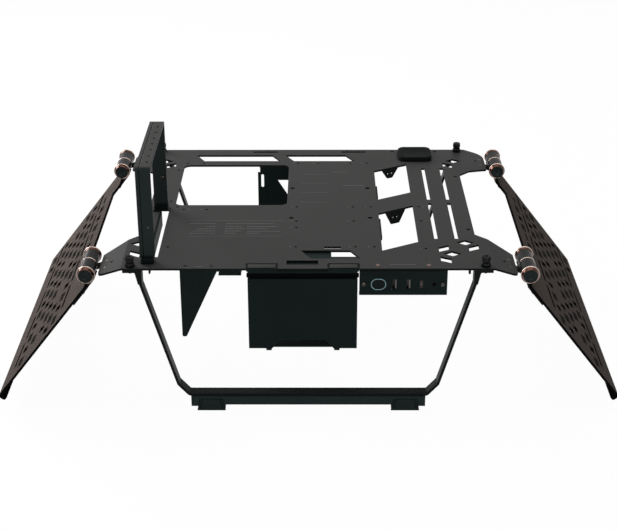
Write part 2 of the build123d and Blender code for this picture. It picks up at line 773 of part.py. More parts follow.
def make_usb_c_port():
    """USB-C socket: a rounded shell with its tongue and closed back."""
    width, height = usb_c_size
    inner = stadium(width - 2 * usb_c_wall, height - 2 * usb_c_wall)
    port = along_y(stadium(width, height) - inner, socket_recess, board_gap)
    port += along_y(stadium(width, height), board_gap - socket_base, board_gap)
    port += along_y(Rectangle(*usb_c_tongue), tongue_recess, board_gap)
    return panel_point(usb_c_x) * port


def make_audio_jack():
    """Audio jack: a square body with a round collar and bore."""
    jack = along_y(Rectangle(jack_body, jack_body), panel_sheet + socket_recess, board_gap)
    jack += along_y(Circle(jack_collar_r), socket_recess, board_gap)
    return panel_point(jack_x) * (jack - along_y(Circle(jack_bore_r), 0, jack_bore_depth))


def make_button_ring():
    """Fixed light ring round the button, which also guides it."""
    inner = stadium(button_ring_size[0] - 2 * button_ring_wall, button_ring_size[1] - 2 * button_ring_wall)
    return panel_point(button_x) * along_y(stadium(*button_ring_size) - inner, -button_ring_proud, button_ring_depth)


def make_power_button():
    """Button that slides inside the ring."""
    less = 2 * (button_ring_wall + button_clearance)
    cap = along_y(stadium(button_ring_size[0] - less, button_ring_size[1] - less), -button_proud, button_depth)
    cap += along_y(Circle(button_stem_r), button_depth, button_depth + button_stem)
    return panel_point(button_x) * cap


def make_power_switch():
    """Switch on the board behind the button."""
    tip = button_depth + button_stem + button_travel + running_gap
    body = tip + switch_plunger
    switch = along_y(Rectangle(switch_size, switch_size), body, board_gap)
    return panel_point(button_x) * (switch + along_y(Circle(button_stem_r), tip, body))


def make_tray_screws():
    """Screws that hold the panel to the tray."""
    length = tray_sheet + panel_sheet
    return group(Pos(x, y, tray_top) * flush_screw(length) for x, y in panel_tray_screws())


# Corner gusset and pad


def gusset_screws_places():
    """Screws down through the tray into the gusset's flange."""
    middle = gusset_left + gusset_top_width / 2
    return [(x, front + gusset_screw_inset) for x in span(middle, gusset_screw_pitch)]


def make_gusset():
    """Three-cornered plate under the tray's front edge, with a flange on top."""
    low = tray_under - gusset_height
    right = gusset_left + gusset_top_width
    face = Polygon((gusset_left, tray_under), (gusset_left, low), (gusset_left + gusset_tip_width, low),
                   (right, tray_under - gusset_sheet), (right, tray_under))
    face = fillet(corners_at(face, [(gusset_left, low), (gusset_left + gusset_tip_width, low)]), gusset_tip_r)
    plate = along_y(face, front, front + gusset_sheet)
    plate += block((gusset_left, right), (front, front + gusset_flange), (tray_under - gusset_sheet, tray_under))
    return plate - [Pos(x, y, tray_top) * screw_hole() for x, y in gusset_screws_places()]


def make_gusset_screws():
    """Screws that hold the gusset to the tray."""
    length = tray_sheet + gusset_sheet
    return group(Pos(x, y, tray_top) * flush_screw(length) for x, y in gusset_screws_places())


def make_pad():
    """Soft pad on the tray's rear right."""
    pad = along_z(RectangleRounded(*pad_size, pad_corner), tray_top, tray_top + pad_height)
    pad = chamfer(pad.faces().sort_by(Axis.Z)[-1].edges(), pad_round)
    return Pos(pad_x, rear - pad_inset) * pad


# Hinges, drawn along Y about their axis, with the fixed half towards -Y


def tube_y(outer, inner, low, high):
    """A tube along Y."""
    return along_y(Circle(outer) - Circle(inner), low, high)


def hinge_sites():
    """Name, body side and placing of each hinge: the left ones are the right ones turned half round."""
    sites = []
    for name, y in zip(("front", "rear"), hinge_rows):
        sites.append((f"right_{name}", "right", Pos(0, y, 0)))
        sites.append((f"left_{name}", "left", half_turn * Pos(0, -y, 0)))
    return sites


half_barrel = barrel_length / 2 - ring_length
bore_r = pin_r + pin_clearance
middle_ring_half = middle_ring_width / 2
fixed_low, fixed_high = -half_barrel, -middle_ring_half
moving_low, moving_high = middle_ring_half + running_gap, half_barrel


def ear_leaf_screws():
    """Screw places of an ear leaf, from the hinge axis, in the ear's plane."""
    u = -hinge_reach - ear_screw_inset
    return [Pos(u, y, -axis_rise) for y in span(0, ear_screw_pitch)]


def ear_screw_frames():
    """Frames of every ear screw, with Z square to the ear."""
    return [site * ear_frame * place for _, _, site in hinge_sites() for place in ear_leaf_screws()]


def make_fixed_knuckle():
    """Half barrel, arm and leaf that is screwed under the ear."""
    leaf_low = -hinge_seat - leaf_sheet
    near = -hinge_reach + running_gap
    leaf = block((near - ear_leaf_length, near), span(0, ear_leaf_width), (leaf_low, -hinge_seat))
    arm = block((near - leaf_sheet, 0), (fixed_high - arm_width, fixed_high), (leaf_low, leaf_low + arm_height))
    arm -= block((near - THROUGH, near), (fixed_low, fixed_high), (-hinge_seat, 0))
    body = leaf + arm + along_y(Circle(barrel_r), fixed_low, fixed_high)
    body -= along_y(Circle(bore_r), fixed_low, fixed_high)
    return ear_frame * (body - [place * screw_hole() for place in ear_leaf_screws()])


def wing_leaf_screws():
    """Screw places under a wing leaf, in the wing's plane, with the heads downwards."""
    low = -hinge_seat - wing_sheet - leaf_sheet
    return [Pos(wing_near + wing_screw_inset, y, low) * Rot(180, 0, 0) for y in span(0, wing_screw_pitch)]


def wing_screw_hole():
    """A blind hole through a wing leaf into the wing."""
    depth = leaf_sheet + wing_sheet - wing_screw_cover
    return along_z(small_round(screw_r + screw_clearance), -depth, 0)


def make_moving_knuckle():
    """Half barrel, arm and leaf that is screwed under the wing."""
    leaf_high = -hinge_seat - wing_sheet
    leaf_low = leaf_high - leaf_sheet
    leaf = block((wing_near, wing_near + wing_leaf_length), span(0, wing_leaf_width), (leaf_low, leaf_high))
    arm = block((0, wing_near - running_gap), (moving_low, moving_high), (leaf_low, leaf_low + arm_height))
    arm += block((0, wing_near + leaf_sheet), (moving_low, moving_high), (leaf_low, leaf_high))
    body = leaf + arm + along_y(Circle(barrel_r), moving_low, moving_high)
    body -= along_y(Circle(bore_r), moving_low, moving_high)
    return wing_frame * (body - [place * wing_screw_hole() for place in wing_leaf_screws()])


def make_pin():
    """Hinge pin, fast in the fixed half and running in the moving half."""
    return ear_frame * along_y(Circle(pin_r), fixed_low, moving_high - running_gap)


def make_middle_ring():
    """Thin ring between the two halves, on the fixed one."""
    return ear_frame * tube_y(middle_ring_r, bore_r, -middle_ring_half, middle_ring_half)


def make_end_ring():
    """Wide ring over one end of a barrel, with a chamfered outer rim, drawn at the moving end."""
    ring = tube_y(ring_r, cap_r, half_barrel, half_barrel + ring_length)
    rim = ring.edges().filter_by(GeomType.CIRCLE).group_by(Axis.Y)[-1].sort_by(SortBy.RADIUS)[-1]
    return chamfer(rim, ring_chamfer)


def make_end_cap():
    """Cap inside an end ring, drawn at the moving end."""
    return along_y(Circle(cap_r - pin_clearance), half_barrel, half_barrel + ring_length + cap_proud)


# Wings


def cell_y(row):
    """Middle of a row of the wing's staggered pattern."""
    return -wing_length / 2 + cell_margin + row * cell_rise


def slit_cell(s, row):
    """A cell of parallel slits that leans as the rhombs do."""
    for i in range(slit_count):
        step = (i - (slit_count - 1) / 2) * slit_pitch
        lean = cell_lean / cell_width
        yield Pos(s + step, cell_y(row) + step * lean) * leaning(slit_width, slit_length, slit_width * lean)


def lattice_cells():
    """Rhombs and slit cells in turn over the middle of a wing, with some cells left plain."""
    rhomb = leaning(cell_width, cell_height, cell_lean)
    for column in range(cell_column_count):
        for row in range(cell_row_count):
            s = cell_column + column * cell_pitch
            if (column, row) in plain_cells:
                continue
            if (column + row) % 2:
                yield Pos(s, cell_y(row)) * rhomb
            else:
                yield from slit_cell(s, row)


def border_cells():
    """Cells along the inner border of a wing and at its outer rear corner."""
    rhomb = leaning(cell_width, cell_height, cell_lean)
    notch = leaning(border_notch_width, slit_length, cell_lean * border_notch_width / cell_width)
    yield from (Pos(border_column, cell_y(row)) * notch for row in border_notch_rows)
    yield Pos(border_column, cell_y(border_rhomb_row)) * rhomb
    yield Pos(rim_column, cell_y(rim_rhomb_row)) * rhomb
    for row in border_slit_rows:
        yield from slit_cell(border_column, row)
    yield from slit_cell(rim_column, rim_slit_row)


def fan_slots():
    """Two columns of long slots that take fan screws."""
    for s in fan_slot_rows:
        for i in range(fan_slot_count):
            y = fan_slot_shift + (i - (fan_slot_count - 1) / 2) * fan_slot_pitch
            yield Pos(s, y) * Rectangle(*fan_slot_size)


def wing_openings():
    """Every opening of one wing, drawn in the wing's plane."""
    return [*lattice_cells(), *border_cells(), *fan_slots()]


def make_wing():
    """Perforated wing sheet with a lip folded along its outer edge."""
    top = -hinge_seat
    path = [(0, top - wing_lip), (0, top), (-2 * wing_far, top)]
    strip = along_y(folded(path, wing_sheet, wing_bend), *span(0, 3 * wing_length))
    tilt = math.degrees(math.atan2(wing_flare, wing_length))
    strip = Pos(wing_far, -wing_length / 2, 0) * Rot(0, 0, -tilt) * strip
    sheet = strip & block((wing_near, 2 * wing_far), span(0, wing_length), span(top, THROUGH))
    sheet = fillet(sheet.edges().filter_by(Axis.X).group_by(Axis.Z)[0], wing_lip_corner)
    waist = Rectangle(2 * (wing_waist - wing_near), wing_waist_length)
    through = span(top - wing_sheet / 2, 2 * wing_sheet)
    cuts = [along_z(Pos(wing_near, 0) * waist, *through)]
    cuts += [along_z(opening, *through) for opening in wing_openings()]
    for y in hinge_rows:
        cuts += [Pos(0, y, 0) * place * wing_screw_hole() for place in wing_leaf_screws()]
    return wing_frame * (sheet - cuts)


def make_wing_screws(side):
    """Screws of the two leaves of one wing."""
    one = screw(wing_sheet + leaf_sheet - wing_screw_cover - screw_clearance)
    sites = [site for _, body, site in hinge_sites() if body == side]
    return group(site * wing_frame * place * one for site in sites for place in wing_leaf_screws())


def make_nodes():
    """Every node of the bench by name."""
    nodes = {
        "tray": make_tray(),
        "leg_frame_front": make_leg_frame(-leg_y),
        "leg_frame_rear": make_leg_frame(leg_y),
        "foot_bar_front": make_foot_bar(-leg_y),
        "foot_bar_rear": make_foot_bar(leg_y),
        "leg_thumbscrews": make_thumbscrews(),
        "slot_frame": make_slot_frame(),
        "slot_foot_front": make_slot_foot(slot_frame_front + slot_frame_sheet / 2, False),
        "slot_foot_rear": make_slot_foot(slot_frame_rear - slot_frame_sheet / 2, True),
        "slot_frame_screws": group(place * screw(slot_frame_sheet) for place in slot_screw_frames()),
        "slot_rail": make_slot_rail(),
        "power_bracket_front": make_front_bracket(),
        "power_bracket_rear": make_rear_bracket(),
        "front_panel": make_panel(),
        "circuit_board": make_circuit_board(),
        "board_spacers": make_spacers(),
        "panel_screws": make_panel_screws(),
        "usb_a_port_inner": make_usb_a_port(usb_a_places[0]),
        "usb_a_port_outer": make_usb_a_port(usb_a_places[1]),
        "usb_a_tongues": make_usb_a_tongues(),
        "usb_c_port": make_usb_c_port(),
        "audio_jack": make_audio_jack(),
        "button_ring": make_button_ring(),
        "power_button": make_power_button(),
        "power_switch": make_power_switch(),
        "tray_screws": make_tray_screws(),
        "corner_gusset": make_gusset(),
        "gusset_screws": make_gusset_screws(),
        "tray_pad": make_pad(),
        "ear_screws": group(place * flush_screw(tray_sheet + leaf_sheet) for place in ear_screw_frames()),
    }
    for side, x_name in ((-1, "left"), (1, "right")):
        for y, y_name in ((-leg_y, "front"), (leg_y, "rear")):
            nodes[f"rubber_foot_{x_name}_{y_name}"] = make_rubber_foot(side, y)
    wing = make_wing()
    nodes["wing_right"] = wing
    nodes["wing_left"] = mirror(wing, Plane.YZ)
    nodes["wing_screws_right"] = make_wing_screws("right")
    nodes["wing_screws_left"] = make_wing_screws("left")
    fixed, moving, pin = make_fixed_knuckle(), make_moving_knuckle(), make_pin()
    ring, cap, middle = make_end_ring(), make_end_cap(), make_middle_ring()
    turned = mirror(ring, Plane.XZ), mirror(cap, Plane.XZ)
    sites = hinge_sites()
    for name, _, site in sites:
        nodes[f"hinge_fixed_{name}"] = site * fixed
        nodes[f"hinge_moving_{name}"] = site * moving
        nodes[f"hinge_pin_{name}"] = site * pin
    nodes["middle_rings"] = group(site * middle for _, _, site in sites)
    nodes["end_rings_fixed"] = group(site * ear_frame * turned[0] for _, _, site in sites)
    nodes["end_caps_fixed"] = group(site * ear_frame * turned[1] for _, _, site in sites)
    for side in ("left", "right"):
        own = [site for _, body, site in sites if body == side]
        nodes[f"end_rings_{side}"] = group(site * wing_frame * ring for site in own)
        nodes[f"end_caps_{side}"] = group(site * wing_frame * cap for site in own)
    return nodes


os.makedirs("parts", exist_ok=True)
for node_name, shape in make_nodes().items():
    export_step(shape, f"parts/{node_name}.step")
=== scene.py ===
"""Dress of the open air test bench: finishes, fasteners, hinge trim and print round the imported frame.

Metres, +Z up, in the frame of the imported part.
"""

import json
import logging
import math
from collections.abc import Callable
from dataclasses import dataclass, replace
from enum import Enum
from typing import Optional, Union

import bmesh
import bpy
from mathutils import Matrix, Vector


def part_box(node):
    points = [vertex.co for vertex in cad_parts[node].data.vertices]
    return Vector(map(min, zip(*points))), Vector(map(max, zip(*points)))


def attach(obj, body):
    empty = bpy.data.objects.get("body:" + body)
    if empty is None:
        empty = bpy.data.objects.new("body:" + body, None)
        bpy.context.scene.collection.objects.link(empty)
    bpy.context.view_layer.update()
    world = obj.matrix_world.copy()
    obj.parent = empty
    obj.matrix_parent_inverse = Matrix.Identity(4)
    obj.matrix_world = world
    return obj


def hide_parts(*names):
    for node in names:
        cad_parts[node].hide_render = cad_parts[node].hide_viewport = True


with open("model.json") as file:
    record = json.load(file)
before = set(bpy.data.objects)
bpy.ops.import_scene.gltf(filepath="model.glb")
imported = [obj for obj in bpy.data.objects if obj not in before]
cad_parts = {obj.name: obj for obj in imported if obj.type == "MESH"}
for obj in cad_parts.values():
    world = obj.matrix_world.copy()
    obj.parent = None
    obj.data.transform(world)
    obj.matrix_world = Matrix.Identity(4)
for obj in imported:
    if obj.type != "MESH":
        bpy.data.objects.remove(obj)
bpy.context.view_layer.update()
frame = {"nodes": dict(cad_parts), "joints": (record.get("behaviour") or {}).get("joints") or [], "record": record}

log = logging.getLogger("test_bench")

MM = 0.001
WING_DROOP = math.radians(52.0)
TRAY_LOW, TRAY_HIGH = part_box("tray")
# Points closer than WELD are one point, and points closer than LEVEL along an axis are level
WELD = 1e-6
LEVEL = 1e-5
UP = Vector((0.0, 0.0, 1.0))
ALONG_Y = Vector((0.0, 1.0, 0.0))
UNIT = (0.0, 1.0)
WHITE = (1.0, 1.0, 1.0, 1.0)

Colour = tuple[float, float, float]
Direction = tuple[float, float, float]
Points = list[Vector]
Shape = bmesh.types.BMesh
Socket = bpy.types.NodeSocket
Value = Union[float, tuple, Socket]


class Body(Enum):
    """Bodies of the frame that a piece can ride on."""

    ROOT = "root"
    LEFT = "left_wing"
    RIGHT = "right_wing"


class Side(Enum):
    """Sides of the bench, each with its sign along X."""

    LEFT = -1
    RIGHT = 1


class Slot(Enum):
    """Material slots of the record."""

    TRAY = "tray_steel"
    SHEET = "black_steel"
    WING = "wing_bronze"
    HINGE = "hinge_black"
    COPPER = "copper"
    PIN = "pin_steel"
    FITTINGS = "black_fittings"
    PLASTIC = "black_plastic"
    RUBBER = "soft_rubber"
    CIRCUIT = "circuit_green"
    SOCKET = "socket_metal"
    RING = "ring_light"


class Drive(Enum):
    """Recess in the head of a screw."""

    CROSS = "cross"
    HEX = "hex"


def square_to(droop: float, side: Side) -> Vector:
    """Direction square to a sheet that droops from one side of the tray."""
    return Vector((side.value * math.sin(droop), 0.0, math.cos(droop)))


def down_along(droop: float, side: Side) -> Vector:
    """Direction down such a sheet, away from the tray."""
    return Vector((side.value * math.cos(droop), 0.0, -math.sin(droop)))


# Finishes


@dataclass(frozen=True)
class Finish:
    """How one kind of surface looks.

    Attributes:
        name: name of the material.
        colour: linear base colour.
        rough: lowest and highest roughness over the surface.
        metallic: share of bare metal.
        specular: strength of the gloss.
        coat: weight of a clear coat.
        patch_depth: share by which the colour drifts over the surface.
        patch_size: size of that drift.
        grain_size: size of the fine texture.
        grain_bump: strength of the fine texture.
        edge_radius: rounding seen on the edges.
        edge_wear_and_painted_light: how far the edges take the wear colour.
        unbroken_edge: 1 where that edge colour is even along the edges, 0 where it is broken.
        wear_and_painted_light_colour: colour along the edges. It stands for rubbed coat or metal, and it also
            paints light: a highlight where it is lighter than the coat, and shade where it is darker, as on the
            wings and the pad.
        turned_pitch: spacing of lathe lines along Y, or 0 for none.
        glow: strength of its own light.
        flat: direction square to the faces that keep the main colour. Faces turned away from it, such as cut
            sides, bent tabs and upright faces, take the side colour.
        side_shade_colour: colour of those faces, a painted shade.
        crease: reach of the painted shade in corners and gaps, or 0 for none.
    """

    name: str
    colour: Colour
    rough: tuple[float, float]
    metallic: float = 0.0
    specular: float = 0.5
    coat: float = 0.0
    patch_depth: float = 0.12
    patch_size: float = 0.07
    grain_size: float = 0.0009
    grain_bump: float = 0.12
    edge_radius: float = 0.0004
    edge_wear_and_painted_light: float = 0.25
    unbroken_edge: float = 0.0
    wear_and_painted_light_colour: Colour = (0.16, 0.16, 0.16)
    turned_pitch: float = 0.0
    glow: float = 0.0
    flat: Optional[Direction] = None
    side_shade_colour: Colour = (0.004, 0.004, 0.0042)
    crease: float = 0.0


# A wear colour lighter than its coat paints highlights along the edges as well as rub, and a darker one paints
# shade along them.
FINISHES: dict[Slot, Finish] = {
    # The tray's upright faces, cut sides and bent tabs take a near-black side colour: painted shade.
    Slot.TRAY: Finish(
        "tray_satin_coat", (0.029, 0.029, 0.0283), (0.50, 0.62), specular=0.06, patch_depth=0.10,
        patch_size=0.12, edge_wear_and_painted_light=0.15, wear_and_painted_light_colour=(0.07, 0.07, 0.068), flat=(0.0, 0.0, 1.0),
        side_shade_colour=(0.0045, 0.0055, 0.0055), crease=0.004),
    Slot.SHEET: Finish(
        "black_sheet_coat", (0.0062, 0.0115, 0.0112), (0.46, 0.58), specular=0.04,
        edge_radius=0.0011, edge_wear_and_painted_light=0.5, wear_and_painted_light_colour=(0.038, 0.054, 0.055), crease=0.008),
    # Its near-black edge colour paints shade along the edges of the openings.
    Slot.WING: Finish(
        "wing_bronze_coat", (0.063, 0.052, 0.0465), (0.80, 0.92), specular=0.012, patch_depth=0.14,
        patch_size=0.09, edge_radius=0.0011, edge_wear_and_painted_light=1.0, unbroken_edge=1.0,
        wear_and_painted_light_colour=(0.006, 0.006, 0.006)),
    Slot.HINGE: Finish(
        "hinge_satin_black", (0.0075, 0.0076, 0.0078), (0.26, 0.38), specular=0.06, grain_size=0.0005,
        grain_bump=0.05, edge_wear_and_painted_light=0.3, wear_and_painted_light_colour=(0.14, 0.12, 0.11)),
    Slot.COPPER: Finish(
        "turned_copper", (0.050, 0.023, 0.015), (0.10, 0.20), metallic=1.0, grain_size=0.0004,
        grain_bump=0.04, edge_wear_and_painted_light=0.4, wear_and_painted_light_colour=(0.50, 0.38, 0.32), turned_pitch=0.0007),
    Slot.PIN: Finish("ground_steel", (0.42, 0.42, 0.42), (0.22, 0.36), metallic=1.0, turned_pitch=0.0006),
    Slot.FITTINGS: Finish(
        "black_oxide", (0.0045, 0.0048, 0.0050), (0.22, 0.34), specular=0.05, grain_size=0.0005,
        edge_wear_and_painted_light=0.8, wear_and_painted_light_colour=(0.10, 0.10, 0.10), crease=0.004),
    Slot.PLASTIC: Finish(
        "moulded_black", (0.0045, 0.0070, 0.0070), (0.26, 0.38), specular=0.07, grain_size=0.0006,
        grain_bump=0.06, edge_wear_and_painted_light=0.15, wear_and_painted_light_colour=(0.02, 0.024, 0.024)),
    Slot.RUBBER: Finish(
        "matte_rubber", (0.0075, 0.0115, 0.0115), (0.60, 0.76), specular=0.03, grain_size=0.0007,
        grain_bump=0.25, edge_wear_and_painted_light=0.2, wear_and_painted_light_colour=(0.02, 0.022, 0.022)),
    Slot.CIRCUIT: Finish("solder_mask", (0.008, 0.055, 0.028), (0.25, 0.40), coat=0.3, grain_size=0.0012),
    Slot.SOCKET: Finish(
        "nickel_plate", (0.16, 0.14, 0.125), (0.24, 0.38), metallic=1.0, grain_size=0.0005,
        grain_bump=0.05),
    Slot.RING: Finish(
        "pale_ring", (0.20, 0.34, 0.38), (0.25, 0.40), coat=0.3, edge_wear_and_painted_light=0.0, grain_bump=0.03, glow=0.12),
}
PRINT = Finish("grey_print", (0.115, 0.115, 0.112), (0.55, 0.70), specular=0.2, edge_wear_and_painted_light=0.0,
               grain_bump=0.05)
FAINT_PRINT = replace(PRINT, name="faint_print", colour=(0.095, 0.095, 0.092))
CONTACT = Finish("contact_strip", (0.36, 0.20, 0.14), (0.25, 0.40), metallic=1.0, grain_size=0.0004,
                 grain_bump=0.05)
CAP = Finish("cap_black", (0.0050, 0.0090, 0.0090), (0.28, 0.42), specular=0.10, grain_size=0.0005,
             grain_bump=0.05, edge_wear_and_painted_light=0.3, wear_and_painted_light_colour=(0.05, 0.06, 0.06))
FOOT = Finish("moulded_foot", (0.0150, 0.0245, 0.0238), (0.42, 0.56), specular=0.06, grain_size=0.0007,
              edge_wear_and_painted_light=0.35, wear_and_painted_light_colour=(0.035, 0.048, 0.048))
FOOT_PAD = Finish("rubber_foot", (0.0150, 0.0230, 0.0228), (0.60, 0.76), specular=0.04, grain_size=0.0007,
                  grain_bump=0.25, edge_radius=0.0009, edge_wear_and_painted_light=0.35, wear_and_painted_light_colour=(0.040, 0.054, 0.054))
# Its upright faces take a darker teal than its top: painted shade.
FRAME_COAT = Finish("slot_frame_coat", (0.0185, 0.0180, 0.0170), (0.46, 0.58), specular=0.10,
                    edge_radius=0.0011, edge_wear_and_painted_light=0.5, wear_and_painted_light_colour=(0.045, 0.058, 0.058),
                    flat=(0.0, 0.0, 1.0), side_shade_colour=(0.0105, 0.0165, 0.0160), crease=0.004)
LEG = Finish("leg_black", (0.0042, 0.0062, 0.0060), (0.34, 0.46), specular=0.05, edge_radius=0.0011,
             edge_wear_and_painted_light=0.5, wear_and_painted_light_colour=(0.030, 0.038, 0.038), crease=0.004)
PORT = Finish("port_steel", (0.13, 0.110, 0.100), (0.30, 0.45), metallic=1.0, grain_size=0.0004,
              grain_bump=0.05)
SHELL = Finish("dark_shell", (0.0085, 0.0090, 0.0090), (0.34, 0.48), specular=0.08, grain_size=0.0004,
               grain_bump=0.05)
# Its pale edge colour paints highlights on the heads.
PANEL_SCREW = Finish("panel_screw_steel", (0.020, 0.018, 0.017), (0.20, 0.34), metallic=1.0,
                     grain_size=0.0004, grain_bump=0.05, edge_wear_and_painted_light=1.0, wear_and_painted_light_colour=(0.75, 0.68, 0.62),
                     crease=0.002)
# Its cream edge colour paints highlights on the heads as well as rub.
TRAY_SCREW = Finish("tray_screw_copper", (0.17, 0.090, 0.066), (0.12, 0.22), metallic=1.0,
                    grain_size=0.0004, grain_bump=0.04, edge_wear_and_painted_light=0.75, wear_and_painted_light_colour=(0.90, 0.74, 0.65))
# A lighter copy of the rings' copper: a painted highlight on the lips and the middle bands.
LIP_HIGHLIGHT = Finish("copper_painted_highlight", (0.46, 0.345, 0.295), (0.10, 0.20), metallic=1.0, grain_size=0.0004,
             grain_bump=0.04, edge_wear_and_painted_light=0.4, wear_and_painted_light_colour=(0.90, 0.80, 0.74), turned_pitch=0.0007)
# Its near-black edge colour paints shade round the rounded rim.
PAD = Finish("pad_rubber", (0.0058, 0.0072, 0.0070), (0.60, 0.76), specular=0.03, grain_size=0.0007,
             grain_bump=0.25, edge_radius=0.0022, edge_wear_and_painted_light=1.0, unbroken_edge=1.0,
             wear_and_painted_light_colour=(0.0012, 0.0016, 0.0016))
# Its pale edge colour paints glints on the knurl.
KNURL = Finish("knurled_black", (0.0018, 0.0020, 0.0021), (0.20, 0.30), specular=0.04, grain_size=0.0005,
               edge_radius=0.0003, edge_wear_and_painted_light=0.4, wear_and_painted_light_colour=(0.16, 0.155, 0.15), crease=0.003)
# Near black, for the dark stud heads and for strips and rims of painted shade.
BLACK_AND_SHADE = Finish("black_and_painted_shade", (0.0016, 0.0020, 0.0020), (0.60, 0.76), specular=0.02, grain_size=0.0007)
EAR_SCREW = Finish("ear_screw_copper", (0.045, 0.026, 0.020), (0.24, 0.36), metallic=1.0,
                   grain_size=0.0004, grain_bump=0.05, edge_wear_and_painted_light=0.4, wear_and_painted_light_colour=(0.24, 0.15, 0.115))
TONGUE = Finish("tongue_grey", (0.115, 0.112, 0.108), (0.40, 0.55), specular=0.3, grain_size=0.0004,
                grain_bump=0.1)


def wing_coat(name: str, side: Side) -> Finish:
    """The wings' finish, with painted shade on their cut sides.

    Args:
        name: name of the finish.
        side: which wing it is for.

    Returns:
        The finish of that wing.
    """
    return replace(FINISHES[Slot.WING], name=name, flat=tuple(square_to(WING_DROOP, side)))


class Graph:
    """A node tree with short calls to add and join nodes.

    Attributes:
        MIX_COLOURS: numbers of the two colour inputs of a Mix node.
        MIX_RESULT: number of its colour output.
    """

    MIX_COLOURS = (6, 7)
    MIX_RESULT = 2

    def __init__(self, tree: bpy.types.NodeTree) -> None:
        """Start on a tree, as it stands."""
        self.tree = tree

    def feed(self, node: bpy.types.Node, values: dict) -> None:
        """Set some inputs of a node.

        Args:
            node: the node.
            values: inputs by name or number, each a constant or an output to join.
        """
        for key, value in values.items():
            if isinstance(value, Socket):
                self.tree.links.new(value, node.inputs[key])
            else:
                node.inputs[key].default_value = value

    def node(self, kind: str, values: Optional[dict] = None, **settings: object) -> bpy.types.Node:
        """Add one node.

        Args:
            kind: Blender's name of the node.
            values: inputs to set, as for feed.
            settings: the node's own settings.

        Returns:
            The new node.
        """
        made = self.tree.nodes.new(kind)
        for key, setting in settings.items():
            setattr(made, key, setting)
        self.feed(made, values or {})
        return made

    def group(self, tree: bpy.types.NodeTree, values: dict[str, float]) -> bpy.types.bpy_prop_collection:
        """Place a node group with its own values, and return its outputs."""
        return self.node("ShaderNodeGroup", values, node_tree=tree).outputs

    def place(self) -> Socket:
        """Object coordinates."""
        return self.node("ShaderNodeTexCoord").outputs["Object"]

    def math(self, operation: str, first: Value, second: Value = 0.0) -> Socket:
        """Work out one number from two, and return the output."""
        return self.node("ShaderNodeMath", {0: first, 1: second}, operation=operation).outputs[0]

    def dot(self, first: Value, second: Value) -> Socket:
        """How far two directions agree, from -1 to 1."""
        made = self.node("ShaderNodeVectorMath", {0: first, 1: second}, operation="DOT_PRODUCT")
        return made.outputs["Value"]

    def noise(self, size: Value, detail: float) -> Socket:
        """Noise over the surface.

        Args:
            size: about the size of its lumps.
            detail: how many finer layers it has.

        Returns:
            The noise, from 0 to 1.
        """
        scale = self.math("DIVIDE", 1.0, size)
        made = self.node("ShaderNodeTexNoise", {"Vector": self.place(), "Scale": scale, "Detail": detail})
        return made.outputs[0]

    def fit(self, value: Value, source: tuple[float, float], target: tuple[float, float] = UNIT) -> Socket:
        """Map one range of numbers onto another, held at its ends."""
        return self.node("ShaderNodeMapRange", dict(enumerate((value, *source, *target)))).outputs[0]

    def mix(self, share: Value, first: Value, second: Value) -> Socket:
        """Mix two colours and return the result."""
        values = {0: share, **dict(zip(self.MIX_COLOURS, (first, second)))}
        return self.node("ShaderNodeMix", values, data_type="RGBA").outputs[self.MIX_RESULT]


